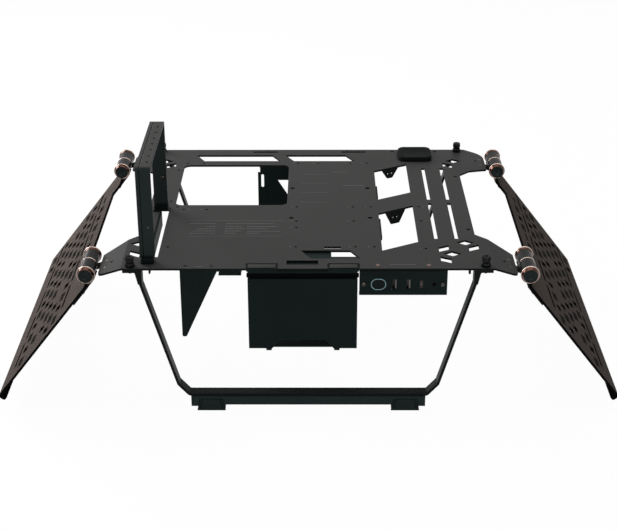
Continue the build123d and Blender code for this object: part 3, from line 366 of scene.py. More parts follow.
class SurfaceGroups:
    """Shared surface effects, each built once as a node group.

    Attributes:
        GRAIN_DETAIL: finer layers of a coat's texture.
        PATCH_DETAIL: finer layers of the drift of its tone.
        PATCH_RANGE: noise that gives the darkest and the lightest tone.
        ROUND_SAMPLES: samples that round an edge.
        BEND_RANGE: agreement of the rounded and the flat normal where the edge colour starts and where it is full.
        BREAK_SIZE: size of the breaks in the edge colour, which is rub and painted light.
        BREAK_DETAIL: finer layers of those breaks.
        BREAK_RANGE: noise that gives the least and the most edge colour.
        BREAK_LEFT: share of the edge colour that is left there.
        OPEN_SAMPLES: samples that find a gap.
        OPEN_RANGE: openness that is taken as closed and as free.
    """

    GRAIN_DETAIL = 2.0
    PATCH_DETAIL = 5.0
    PATCH_RANGE = (0.3, 0.7)
    ROUND_SAMPLES = 4
    BEND_RANGE = (0.99, 0.85)
    BREAK_SIZE = 4.0 * MM
    BREAK_DETAIL = 3.0
    BREAK_RANGE = (0.35, 0.65)
    BREAK_LEFT = (0.3, 1.0)
    OPEN_SAMPLES = 8
    OPEN_RANGE = (0.5, 0.95)

    def __init__(self) -> None:
        """Build the four groups."""
        self.grain = self._grain()
        self.rub_and_painted_light = self._rub_and_painted_light()
        self.turned = self._turned()
        self.crease = self._crease()

    @staticmethod
    def _start(name: str, inputs: dict[str, float], outputs: dict[str, str]) -> tuple[Graph, dict]:
        """Make an empty group.

        Args:
            name: the group's name.
            inputs: number inputs and their defaults.
            outputs: outputs and their kinds.

        Returns:
            The group's graph, and its input sockets by name.
        """
        tree = bpy.data.node_groups.new(name, "ShaderNodeTree")
        for key, default in inputs.items():
            socket = tree.interface.new_socket(key, in_out="INPUT", socket_type="NodeSocketFloat")
            socket.default_value = default
        for key, kind in outputs.items():
            tree.interface.new_socket(key, in_out="OUTPUT", socket_type=kind)
        graph = Graph(tree)
        given = graph.node("NodeGroupInput")
        return graph, {key: given.outputs[key] for key in inputs}

    def _grain(self) -> bpy.types.NodeTree:
        """Fine texture of a coat, and the slow drift of its tone.

        Returns:
            The group.
        """
        graph, given = self._start("coat_grain", {"Grain Size": 0.001, "Patch Size": 0.05},
                                   {"Height": "NodeSocketFloat", "Tone": "NodeSocketFloat"})
        height = graph.noise(given["Grain Size"], self.GRAIN_DETAIL)
        drift = graph.noise(given["Patch Size"], self.PATCH_DETAIL)
        graph.node("NodeGroupOutput", {"Height": height, "Tone": graph.fit(drift, self.PATCH_RANGE)})
        return graph.tree

    def _rub_and_painted_light(self) -> bpy.types.NodeTree:
        """Rounded edges, and a broken mask along them for rub and for painted highlight or shade.

        Returns:
            The group.
        """
        graph, given = self._start("edge_rub_and_painted_light", {"Radius": 0.0005, "Wear And Painted Light": 0.3, "Evenness": 0.0},
                                   {"Mask": "NodeSocketFloat", "Normal": "NodeSocketVector"})
        bevel = graph.node("ShaderNodeBevel", {"Radius": given["Radius"]}, samples=self.ROUND_SAMPLES)
        rounded = bevel.outputs[0]
        flat = graph.node("ShaderNodeNewGeometry").outputs["True Normal"]
        bend = graph.fit(graph.dot(rounded, flat), self.BEND_RANGE)
        breaks = graph.noise(self.BREAK_SIZE, self.BREAK_DETAIL)
        broken = graph.fit(breaks, self.BREAK_RANGE, self.BREAK_LEFT)
        left = graph.math("MAXIMUM", broken, given["Evenness"])
        mask = graph.math("MULTIPLY", graph.math("MULTIPLY", bend, left), given["Wear And Painted Light"])
        graph.node("NodeGroupOutput", {"Mask": mask, "Normal": rounded})
        return graph.tree

    def _turned(self) -> bpy.types.NodeTree:
        """Fine lathe lines round the Y axis.

        Returns:
            The group.
        """
        graph, given = self._start("turned_lines", {"Pitch": 0.001}, {"Height": "NodeSocketFloat"})
        along = graph.node("ShaderNodeSeparateXYZ", {0: graph.place()}).outputs["Y"]
        turns = graph.math("DIVIDE", graph.math("MULTIPLY", along, 2 * math.pi), given["Pitch"])
        graph.node("NodeGroupOutput", {"Height": graph.fit(graph.math("SINE", turns), (-1.0, 1.0))})
        return graph.tree

    def _crease(self) -> bpy.types.NodeTree:
        """How open a spot is, for painted shade: 1 on a free face, falling to 0 deep in a gap.

        Returns:
            The group.
        """
        graph, given = self._start("crease_shade", {"Reach": 0.004}, {"Open": "NodeSocketFloat"})
        free = graph.node("ShaderNodeAmbientOcclusion", {"Distance": given["Reach"]},
                          samples=self.OPEN_SAMPLES)
        graph.node("NodeGroupOutput", {"Open": graph.fit(free.outputs["AO"], self.OPEN_RANGE)})
        return graph.tree


class Dresser:
    """Makes each finish's material once and puts it on pieces and nodes.

    Attributes:
        CREASE_SHADE: share of its colour that a surface keeps deep in a gap, where shade is painted.
        FACE_RANGE: agreement with a finish's flat direction that marks a face in painted side shade and a face in
            the main colour.
        UNDER_LINES: strength of the fine texture under lathe lines.
        BUMP_DEPTH: depth of the texture.
    """

    CREASE_SHADE = 0.12
    FACE_RANGE = (0.8, 0.9)
    UNDER_LINES = 0.4
    BUMP_DEPTH = 0.3 * MM

    def __init__(self) -> None:
        """Build the shared groups."""
        self.groups = SurfaceGroups()
        self.made: dict[str, bpy.types.Material] = {}

    def material(self, finish: Finish) -> bpy.types.Material:
        """The material of a finish.

        Args:
            finish: what the surface looks like.

        Returns:
            The material, built on first use.
        """
        if finish.name not in self.made:
            self.made[finish.name] = self._build(finish)
        return self.made[finish.name]

    def _build(self, finish: Finish) -> bpy.types.Material:
        """Build one material.

        Args:
            finish: what the surface looks like.

        Returns:
            The material.
        """
        material = bpy.data.materials.new(finish.name)
        material.use_nodes = True
        graph = Graph(material.node_tree)
        grain = graph.group(self.groups.grain, {"Grain Size": finish.grain_size,
                                                "Patch Size": finish.patch_size})
        rub_and_painted_light = graph.group(self.groups.rub_and_painted_light, {"Radius": finish.edge_radius, "Wear And Painted Light": finish.edge_wear_and_painted_light,
                                            "Evenness": finish.unbroken_edge})
        colour = self._colour(graph, finish, grain["Tone"], rub_and_painted_light["Mask"])
        bump = graph.node("ShaderNodeBump", {"Strength": finish.grain_bump, "Distance": self.BUMP_DEPTH,
                                             "Height": self._height(graph, finish, grain["Height"]),
                                             "Normal": rub_and_painted_light["Normal"]})
        shader = material.node_tree.nodes["Principled BSDF"]
        graph.feed(shader, {"Base Color": colour, "Roughness": graph.fit(grain["Tone"], UNIT, finish.rough),
                            "Normal": bump.outputs[0], "Metallic": finish.metallic,
                            "Specular IOR Level": finish.specular, "Coat Weight": finish.coat})
        if finish.glow:
            graph.feed(shader, {"Emission Color": colour, "Emission Strength": finish.glow})
        return material

    def _colour(self, graph: Graph, finish: Finish, tone: Socket, rubbed_and_painted_light: Socket) -> Socket:
        """Colour over the surface, with painted shade on faces turned from its flat direction, edges that are
        rubbed and carry painted highlight or shade, and painted shade in gaps.

        Args:
            graph: the material's graph.
            finish: what the surface looks like.
            tone: drift of the tone.
            rubbed_and_painted_light: mask of the edges, which are rubbed and also carry painted highlight or
                shade.

        Returns:
            The colour.
        """
        colour = self._drift(graph, tone, finish.colour, finish.patch_depth)
        # Faces turned from the flat direction take a darker colour: painted shade.
        if finish.flat:
            side = self._drift(graph, tone, finish.side_shade_colour, finish.patch_depth)
            colour = graph.mix(self._unshaded_faces(graph, finish.flat), side, colour)
        # Edges take the wear colour: rub, and painted highlight or shade.
        colour = graph.mix(rubbed_and_painted_light, colour, (*finish.wear_and_painted_light_colour, 1.0))
        # Corners and gaps darken with how closed they are: painted shade.
        if finish.crease:
            free = graph.group(self.groups.crease, {"Reach": finish.crease})["Open"]
            shade = (*(c * self.CREASE_SHADE for c in finish.colour), 1.0)
            colour = graph.mix(free, shade, colour)
        return colour

    def _height(self, graph: Graph, finish: Finish, grain: Socket) -> Socket:
        """Height of the fine texture, with lathe lines where the finish has them.

        Args:
            graph: the material's graph.
            finish: what the surface looks like.
            grain: height of the coat's texture.

        Returns:
            The height.
        """
        if not finish.turned_pitch:
            return grain
        lines = graph.group(self.groups.turned, {"Pitch": finish.turned_pitch})["Height"]
        return graph.math("ADD", graph.math("MULTIPLY", grain, self.UNDER_LINES), lines)

    @staticmethod
    def _drift(graph: Graph, tone: Socket, colour: Colour, depth: float) -> Socket:
        """A colour that drifts a little darker and lighter with the tone."""
        dark, light = ((*(c * (1 + sign * depth) for c in colour), 1.0) for sign in (-1, 1))
        return graph.mix(tone, dark, light)

    def _unshaded_faces(self, graph: Graph, flat: Direction) -> Socket:
        """1 on faces square to the flat direction, and 0 on the faces that take the painted side shade."""
        normal = graph.node("ShaderNodeTexCoord").outputs["Normal"]
        return graph.fit(graph.math("ABSOLUTE", graph.dot(normal, flat)), self.FACE_RANGE)

    def dress(self, thing: bpy.types.Object, finish: Finish) -> None:
        """Put a finish on every material slot of an object.

        Args:
            thing: the object.
            finish: what its surface looks like.
        """
        material = self.material(finish)
        if not thing.material_slots:
            thing.data.materials.append(material)
        for place in thing.material_slots:
            place.material = material


# Shop tools


@dataclass
class Shop:
    """Turns finished bmeshes into pieces of the part.

    Attributes:
        dresser: makes and puts on the finishes.
        smooth_angle: edges that bend less than this are shaded smooth.
    """

    dresser: Dresser
    smooth_angle: float = math.radians(40)

    def deliver(self, bm: Shape, name: str, body: Body, slot: Slot, finish: Optional[Finish] = None,
                replaces: tuple[str, ...] = ()) -> bpy.types.Object:
        """Make an object of a bmesh, dress it and join it to the frame.

        Args:
            bm: the mesh, in place. It is freed.
            name: the piece's name.
            body: the body that it rides on.
            slot: the record's slot that it takes its finish from.
            finish: its own finish, where that isn't the slot's.
            replaces: CAD nodes that it stands for.

        Returns:
            The new object.
        """
        mesh = bpy.data.meshes.new(name)
        bm.to_mesh(mesh)
        bm.free()
        mesh.shade_smooth()
        mesh.set_sharp_from_angle(angle=self.smooth_angle)
        piece = bpy.data.objects.new(name, mesh)
        bpy.context.scene.collection.objects.link(piece)
        self.dresser.dress(piece, finish or FINISHES[slot])
        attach(piece, body.value)
        if replaces:
            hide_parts(*replaces)
        log.info("%s: %d faces on %s", name, len(mesh.polygons), body.value)
        return piece


def welded(node: str) -> Shape:
    """A copy of a CAD node's mesh with its loose triangles joined.

    Args:
        node: the node's name.

    Returns:
        The copy.
    """
    bm = bmesh.new()
    bm.from_mesh(frame["nodes"][node].data)
    bmesh.ops.remove_doubles(bm, verts=bm.verts, dist=WELD)
    return bm


def solids_of(node: str) -> list[Points]:
    """Corner points of each separate solid in a CAD node.

    Args:
        node: the node's name.

    Returns:
        One list of points for each solid.
    """
    bm = welded(node)
    seen: set = set()
    solids = []
    for first in bm.verts:
        if first in seen:
            continue
        seen.add(first)
        waiting = [first]
        points = []
        while waiting:
            vert = waiting.pop()
            points.append(vert.co.copy())
            for edge in vert.link_edges:
                other = edge.other_vert(vert)
                if other not in seen:
                    seen.add(other)
                    waiting.append(other)
        solids.append(points)
    bm.free()
    return solids


def middle_of(points: Points) -> Vector:
    """Mean of some points."""
    return sum(points, Vector()) / len(points)


def end_points(points: Points, axis: Vector) -> Points:
    """Points of the end face that looks along an axis."""
    top = max(p.dot(axis) for p in points)
    return [p for p in points if p.dot(axis) > top - LEVEL]


def length_of(points: Points) -> float:
    """Length of a solid along Y."""
    return max(p.y for p in points) - min(p.y for p in points)


def side_of(points: Points) -> Side:
    """Side of the bench that a solid is on."""
    return Side.RIGHT if points[0].x > 0 else Side.LEFT


def facing(axis: Vector) -> Matrix:
    """Turn that takes Z to the given direction."""
    return axis.to_track_quat("Z", "Y").to_matrix().to_4x4()


def settle(bm: Shape, place: Vector, axis: Optional[Vector] = None) -> Shape:
    """Move a shape from the origin to its place.

    Args:
        bm: the shape, upright at the origin.
        place: where its origin goes.
        axis: direction that its Z then looks, where that isn't up.

    Returns:
        The same shape.
    """
    turn = Matrix() if axis is None else facing(axis)
    bmesh.ops.transform(bm, matrix=Matrix.Translation(place) @ turn, verts=bm.verts)
    return bm


def gather(parts: list[Shape]) -> Shape:
    """Join several bmeshes into one.

    Args:
        parts: the bmeshes. They are freed.

    Returns:
        The joined bmesh.
    """
    whole = bmesh.new()
    for part in parts:
        mesh = bpy.data.meshes.new("joining")
        part.to_mesh(mesh)
        part.free()
        whole.from_mesh(mesh)
        bpy.data.meshes.remove(mesh)
    return whole


def turned(profile: list[tuple[float, float]], steps: int, closed: bool = False) -> Shape:
    """Spin a profile of radius and height round Z.

    Args:
        profile: points from one end to the other.
        steps: facets round the axis.
        closed: whether the last point joins the first, as on a ring.

    Returns:
        The turned shape, with its normals outwards.
    """
    bm = bmesh.new()
    points = [bm.verts.new((radius, 0.0, height)) for radius, height in profile]
    pairs = list(zip(points, points[1:]))
    if closed:
        pairs.append((points[-1], points[0]))
    edges = [bm.edges.new(pair) for pair in pairs]
    bmesh.ops.spin(bm, geom=points + edges, cent=(0, 0, 0), axis=UP, angle=2 * math.pi, steps=steps,
                   use_merge=True)
    bmesh.ops.remove_doubles(bm, verts=bm.verts, dist=WELD)
    bmesh.ops.recalc_face_normals(bm, faces=bm.faces)
    return bm


def block(size: Vector, middle: Vector, turn: Optional[Matrix] = None) -> Shape:
    """A box about its middle.

    Args:
        size: its three sides.
        middle: where its middle goes.
        turn: how it is turned there, if at all.

    Returns:
        The box.
    """
    bm = bmesh.new()
    bmesh.ops.create_cube(bm, size=1.0)
    bmesh.ops.scale(bm, vec=size, verts=bm.verts)
    if turn is not None:
        bmesh.ops.rotate(bm, cent=(0, 0, 0), matrix=turn, verts=bm.verts)
    bmesh.ops.translate(bm, vec=middle, verts=bm.verts)
    return bm


def bar(low: Vector, high: Vector) -> Shape:
    """A box between two corners."""
    return block(high - low, (low + high) / 2)


def soften(bm: Shape, edges: list[bmesh.types.BMEdge], width: float, segments: int = 2) -> None:
    """Round some edges of a shape."""
    bmesh.ops.bevel(bm, geom=edges, offset=width, offset_type="OFFSET", affect="EDGES", segments=segments,
                    profile=0.5, material=-1)


# Fasteners


@dataclass(frozen=True)
class ScrewSize:
    """Place and sizes of one screw.

    Attributes:
        centre: middle of the top of the head.
        axis: direction that the head faces.
        radius: radius of the head.
        height: height of the head.
        shank: radius of the shank.
        length: from the top of the head to the tip.
        sunk: whether the head is countersunk.
    """

    centre: Vector
    axis: Vector
    radius: float
    height: float
    shank: float
    length: float
    sunk: bool


@dataclass
class ScrewSet:
    """Small screws of one node, with a recess in each head.

    Attributes:
        node: CAD node that they stand for.
        body: body that they ride on.
        slot: material slot.
        axis: direction that the heads face on the right side of the bench.
        mirrored: whether the left side's heads lean the other way.
        drive: recess in the head.
        finish: their own finish, where that isn't the slot's.
        facets: facets round a head.
        fit: share of the CAD radius, so that a round head clears its eight-sided seat.
        crown: radius of the flat top, as a share of the head's.
        crown_drop: fall from that top to a raised head's side, as a share of the head's height.
        sunk_rim: the same fall on a countersunk head.
        recess: radius of the recess, as a share of the head's.
        recess_depth: depth of the recess, as a share of the head's height.
        arm: width of a cross recess's arms, as a share of a third of the recess.
    """

    node: str
    body: Body
    slot: Slot
    axis: Vector
    mirrored: bool = False
    drive: Drive = Drive.CROSS
    finish: Optional[Finish] = None
    facets: int = 24
    fit: float = 0.94
    crown: float = 0.82
    crown_drop: float = 0.35
    sunk_rim: float = 0.12
    recess: float = 0.5
    recess_depth: float = 0.55
    arm: float = 0.6

    def recess_outline(self, reach: float) -> Shape:
        """The recess as flat faces on z = 0.

        Args:
            reach: radius of the recess.

        Returns:
            A hexagon or a cross.
        """
        bm = bmesh.new()
        if self.drive is Drive.HEX:
            bmesh.ops.create_circle(bm, cap_ends=True, radius=reach, segments=6)
            return bm
        bmesh.ops.create_grid(bm, x_segments=3, y_segments=3, size=reach)
        inner = reach / 2
        corners = [f for f in bm.faces if min(abs(c) for c in f.calc_center_median().xy) > inner]
        bmesh.ops.delete(bm, geom=corners, context="FACES")
        for vert in bm.verts:
            vert.co.x *= self.arm if abs(vert.co.x) < inner else 1.0
            vert.co.y *= self.arm if abs(vert.co.y) < inner else 1.0
        return bm

    def screw(self, size: ScrewSize) -> Shape:
        """One screw with the top of its head on z = 0.

        Args:
            size: sizes of the screw.

        Returns:
            The screw's bmesh.
        """
        radius, height = size.radius, size.height
        bm = self.recess_outline(radius * self.recess)
        floor = list(bm.faces)
        rim = [e for e in bm.edges if e.is_boundary]
        sunk = bmesh.ops.extrude_face_region(bm, geom=floor)["geom"]
        bmesh.ops.delete(bm, geom=floor, context="FACES_ONLY")
        low = [v for v in sunk if isinstance(v, bmesh.types.BMVert)]
        bmesh.ops.translate(bm, vec=UP * (-height * self.recess_depth), verts=low)
        ring = bmesh.ops.create_circle(bm, cap_ends=False, radius=radius * self.crown, segments=self.facets)
        edges = list(dict.fromkeys(e for v in ring["verts"] for e in v.link_edges))
        bmesh.ops.bridge_loops(bm, edges=[e for e in rim if e.is_valid] + edges)
        if size.sunk:
            side = [(radius, -height * self.sunk_rim)]
        else:
            side = [(radius, -height * self.crown_drop), (radius, -height)]
        for wide, level in side + [(size.shank, -height), (size.shank, -size.length)]:
            out = bmesh.ops.extrude_edge_only(bm, edges=edges)["geom"]
            edges = [e for e in out if isinstance(e, bmesh.types.BMEdge)]
            for vert in {v for e in edges for v in e.verts}:
                flat = vert.co.xy.normalized() * wide
                vert.co = (flat.x, flat.y, level)
        bmesh.ops.contextual_create(bm, geom=edges)
        bmesh.ops.recalc_face_normals(bm, faces=bm.faces)
        return bm

    def measure(self, points: Points) -> ScrewSize:
        """Read a screw's place and sizes from its CAD solid.

        Args:
            points: points of the solid.

        Returns:
            The place and sizes.
        """
        axis = self.axis.normalized()
        if self.mirrored and side_of(points) is Side.LEFT:
            axis.x = -axis.x
        if self.end_face(points, axis)[1] < self.end_face(points, -axis)[1]:
            axis = -axis
        centre, radius = self.end_face(points, axis)
        depths = [(centre - p).dot(axis) for p in points]
        spread = [(p - centre + axis * depth).length for p, depth in zip(points, depths)]
        shank = min(spread)
        neck = (radius + shank) / 2
        height = min(d for d, s in zip(depths, spread) if s < neck)
        sunk = max(d for d, s in zip(depths, spread) if s > neck) < height / 2
        return ScrewSize(centre, axis, radius * self.fit, height, shank * self.fit, max(depths), sunk)

    @staticmethod
    def end_face(points: Points, axis: Vector) -> tuple[Vector, float]:
        """Middle and radius of the end face that looks along an axis.

        Args:
            points: points of the solid.
            axis: the direction.

        Returns:
            The middle and the radius.
        """
        face = end_points(points, axis)
        centre = middle_of(face)
        return centre, max((p - centre).length for p in face)

    def build(self, shop: Shop) -> None:
        """Set a screw on each solid of the node.

        Args:
            shop: takes the piece.
        """
        sizes = [self.measure(points) for points in solids_of(self.node)]
        screws = [settle(self.screw(size), size.centre, size.axis) for size in sizes]
        shop.deliver(gather(screws), f"{self.node}_turned", self.body, self.slot, finish=self.finish,
                     replaces=(self.node,))


@dataclass
class Thumbscrews:
    """Knurled thumbscrews that clamp the tray to the legs.

    Attributes:
        node: CAD node that they stand for.
        facets: facets round a thumbscrew, every second of which is a groove.
        knurled: radius past which the side is knurled, as a share of the collar's.
        groove: radius of a groove, as a share of the side's.
        shank: radius of the shank.
        profile: radius and height of each point from the tray up, as shares of the collar's radius
            and of the height.
    """

    node: str = "leg_thumbscrews"
    facets: int = 40
    knurled: float = 0.92
    groove: float = 0.90
    shank: float = 2.0 * MM
    profile: tuple[tuple[float, float], ...] = (
        (0.86, 0.0), (1.0, 0.06), (1.0, 0.30), (0.9, 0.36), (0.82, 0.40), (0.82, 0.50), (0.86, 0.54),
        (0.93, 0.60), (0.93, 0.92), (0.84, 1.0), (0.5, 1.0), (0.44, 0.95), (0.0, 0.95))

    def thumbscrew(self, radius: float, height: float, tail: float) -> Shape:
        """One thumbscrew whose collar sits on z = 0.

        Args:
            radius: radius of the collar.
            height: height above the tray.
            tail: reach below the tray.

        Returns:
            The thumbscrew's bmesh.
        """
        outline = [(0.0, -tail), (self.shank, -tail), (self.shank, 0.0)]
        outline += [(wide * radius, level * height) for wide, level in self.profile]
        bm = turned(outline, self.facets)
        step = 2 * math.pi / self.facets
        for vert in bm.verts:
            turn = round(math.atan2(vert.co.y, vert.co.x) / step)
            if vert.co.xy.length > radius * self.knurled and turn % 2:
                vert.co.x *= self.groove
                vert.co.y *= self.groove
        return bm

    def build(self, shop: Shop) -> None:
        """Set a thumbscrew on each solid of the node.

        Args:
            shop: takes the piece.
        """
        table = TRAY_HIGH.z
        parts = []
        for points in solids_of(self.node):
            top, tip = max(p.z for p in points), min(p.z for p in points)
            centre = middle_of(end_points(points, UP))
            radius = max((p - centre).xy.length for p in points)
            part = self.thumbscrew(radius, top - table, table - tip)
            parts.append(settle(part, Vector((centre.x, centre.y, table))))
        shop.deliver(gather(parts), "thumbscrews_knurled", Body.ROOT, Slot.FITTINGS, finish=KNURL,
                     replaces=(self.node,))


@dataclass(frozen=True)
class StudHead:
    """A low round head with a dimple, let into a sheet.

    Attributes:
        radius: radius of the head.
        proud: how far it stands up.
        depth: how far it is let in.
        dimple: radius of the dimple at its top and at its floor, as shares of the head's.
        floor: height of the dimple's floor, as a share of how far the head stands up.
        facets: facets round the head.
    """

    radius: float
    proud: float
    depth: float
    dimple: tuple[float, float]
    floor: float = 0.3
    facets: int = 24

    def shape(self) -> Shape:
        """One head about z = 0.

        Returns:
            The head's bmesh.
        """
        mouth, hollow = (share * self.radius for share in self.dimple)
        floor = self.floor * self.proud
        return turned([(0.0, -self.depth), (self.radius, -self.depth), (self.radius, 0.0),
                       (self.radius - self.proud, self.proud), (mouth, self.proud), (hollow, floor),
                       (0.0, floor)], self.facets)


# Hinges


@dataclass
class HingeTrim:
    """Tapered copper rings whose lips and bands take a lighter copper as a painted highlight, and dark caps, of
    the friction hinges.

    Attributes:
        facets: facets round a ring.
        edge: rounding of an edge.
        cut: how far that rounding cuts in at its middle, as a share of it.
        taper: how far the inner end of a ring draws in from its lip.
        lip_start: distance of the lip from that end.
        lip: width of the lip.
        step: height of the lip above the ring.
        rim: wall left round the cap at the outer end.
        head: how far the head of a cap reaches over the ring.
        head_tall: height of that head.
        head_steps: where the side of that head ends and where its slope meets the cap's radius,
            as shares of its height.
        dimple: radius of a cap's dimple at its top and at its floor, as shares of the cap's.
    """

    facets: int = 64
    edge: float = 0.45 * MM
    cut: float = 0.3
    taper: float = 1.6 * MM
    lip_start: float = 2.4 * MM
    lip: float = 2.0 * MM
    step: float = 0.7 * MM
    rim: float = 0.8 * MM
    head: float = 0.45 * MM
    head_tall: float = 0.55 * MM
    head_steps: tuple[float, float] = (0.4, 0.8)
    dimple: tuple[float, float] = (0.55, 0.45)

    @staticmethod
    def along_axis(bm: Shape, points: Points, outward: float) -> Shape:
        """Lay a turned shape along its hinge axis, from the inner end of its solid.

        Args:
            bm: shape that starts at z = 0 and runs outwards.
            points: points of the solid.
            outward: +1 or -1 along Y.

        Returns:
            The same bmesh, in place.
        """
        sign = side_of(points).value
        wing_hinges = [j for j in frame["joints"] if j["name"].endswith("wing_hinge")]
        x, _, z = next(j["pos_m"] for j in wing_hinges if j["pos_m"][0] * sign > 0)
        levels = [p.y for p in points]
        start = min(levels) if outward > 0 else max(levels)
        return settle(bm, Vector((x, start, z)), ALONG_Y * outward)

    @staticmethod
    def radii(points: Points) -> tuple[float, float]:
        """Outer and inner radius of a turned solid about its own middle.

        Args:
            points: points of the solid.

        Returns:
            The outer and the inner radius.
        """
        xs, zs = [p.x for p in points], [p.z for p in points]
        x, z = (min(xs) + max(xs)) / 2, (min(zs) + max(zs)) / 2
        spread = [math.hypot(p.x - x, p.z - z) for p in points]
        return max(spread), min(spread)

    @staticmethod
    def outward(points: Points, middles: list[float]) -> float:
        """Which way along Y leads out of the hinge at a solid.

        Args:
            points: points of the solid.
            middles: y of the middle of each hinge.

        Returns:
            +1 or -1.
        """
        middle = middle_of(points).y
        nearest = min(middles, key=lambda y: abs(y - middle))
        return 1.0 if middle > nearest else -1.0

    def ring(self, points: Points) -> Shape:
        """A wide ring that tapers from its lip to both ends.

        Args:
            points: points of the ring's solid.

        Returns:
            The ring, from z = 0 outwards.
        """
        outer, inner = self.radii(points)
        long = length_of(points)
        seat, lip_end = outer - self.step, self.lip_start + self.lip
        profile = [(inner, 0.0), (outer - self.taper, 0.0), (seat, self.lip_start), (seat, lip_end),
                   (inner + self.rim, long), (inner, long)]
        return turned(profile, self.facets, closed=True)

    def lips(self, points: Points) -> Shape:
        """The rounded lip round a ring.

        Args:
            points: points of the ring's solid.

        Returns:
            The lip, in place on a ring that starts at z = 0.
        """
        outer, _ = self.radii(points)
        seat, edge, cut = outer - self.step, self.edge, self.edge * self.cut
        start, end = self.lip_start, self.lip_start + self.lip
        profile = [(seat, start), (outer - edge, start), (outer - cut, start + cut), (outer, start + edge),
                   (outer, end - edge), (outer - cut, end - cut), (outer - edge, end), (seat, end)]
        return turned(profile, self.facets, closed=True)

    def cap(self, points: Points) -> Shape:
        """A low crowned cap with a thin head over its ring and a turned dimple.

        Args:
            points: points of the cap's solid.

        Returns:
            The cap, from z = 0 outwards.
        """
        radius, _ = self.radii(points)
        long = length_of(points)
        wide, low = radius + self.head, long - self.head_tall
        side, slope = (low + share * self.head_tall for share in self.head_steps)
        mouth, hollow = (share * radius for share in self.dimple)
        profile = [(0.0, 0.0), (radius, 0.0), (radius, low), (wide, low), (wide, side), (radius, slope),
                   (radius - self.head, long), (mouth, long), (hollow, low), (0.0, low)]
        return turned(profile, self.facets)

    def band(self, points: Points) -> Shape:
        """A thin ring between the two halves of a barrel.

        Args:
            points: points of the ring's solid.

        Returns:
            The ring, from z = 0 on.
        """
        outer, inner = self.radii(points)
        long, edge = length_of(points), self.edge
        profile = [(inner, 0.0), (outer - edge, 0.0), (outer, edge), (outer, long - edge),
                   (outer - edge, long), (inner, long)]
        return turned(profile, self.facets, closed=True)

    def fitted(self, make: Callable[[Points], Shape], node: str, middles: list[float]) -> Shape:
        """Make a shape on every solid of a node.

        Args:
            make: makes the shape from a solid's points.
            node: the node's name.
            middles: y of the middle of each hinge.

        Returns:
            The shapes, in place.
        """
        return gather([self.along_axis(make(points), points, self.outward(points, middles))
                       for points in solids_of(node)])

    def build(self, shop: Shop) -> None:
        """Replace every ring and cap of the four hinges.

        Args:
            shop: takes the pieces.
        """
        solids = solids_of("middle_rings")
        middles = [middle_of(points).y for points in solids]
        bands = [self.along_axis(self.band(points), points, 1.0) for points in solids]
        shop.deliver(gather(bands), "hinge_bands", Body.ROOT, Slot.COPPER, finish=LIP_HIGHLIGHT,
                     replaces=("middle_rings",))
        for end, body in (("fixed", Body.ROOT), ("left", Body.LEFT), ("right", Body.RIGHT)):
            rings, caps = f"end_rings_{end}", f"end_caps_{end}"
            shop.deliver(self.fitted(self.ring, rings, middles), f"hinge_rings_{end}", body, Slot.COPPER,
                         replaces=(rings,))
            shop.deliver(self.fitted(self.cap, caps, middles), f"hinge_caps_{end}", body, Slot.PLASTIC,
                         finish=CAP, replaces=(caps,))
            shop.deliver(self.fitted(self.lips, rings, middles), f"hinge_lips_{end}", body, Slot.COPPER,
                         finish=LIP_HIGHLIGHT)


# Wings


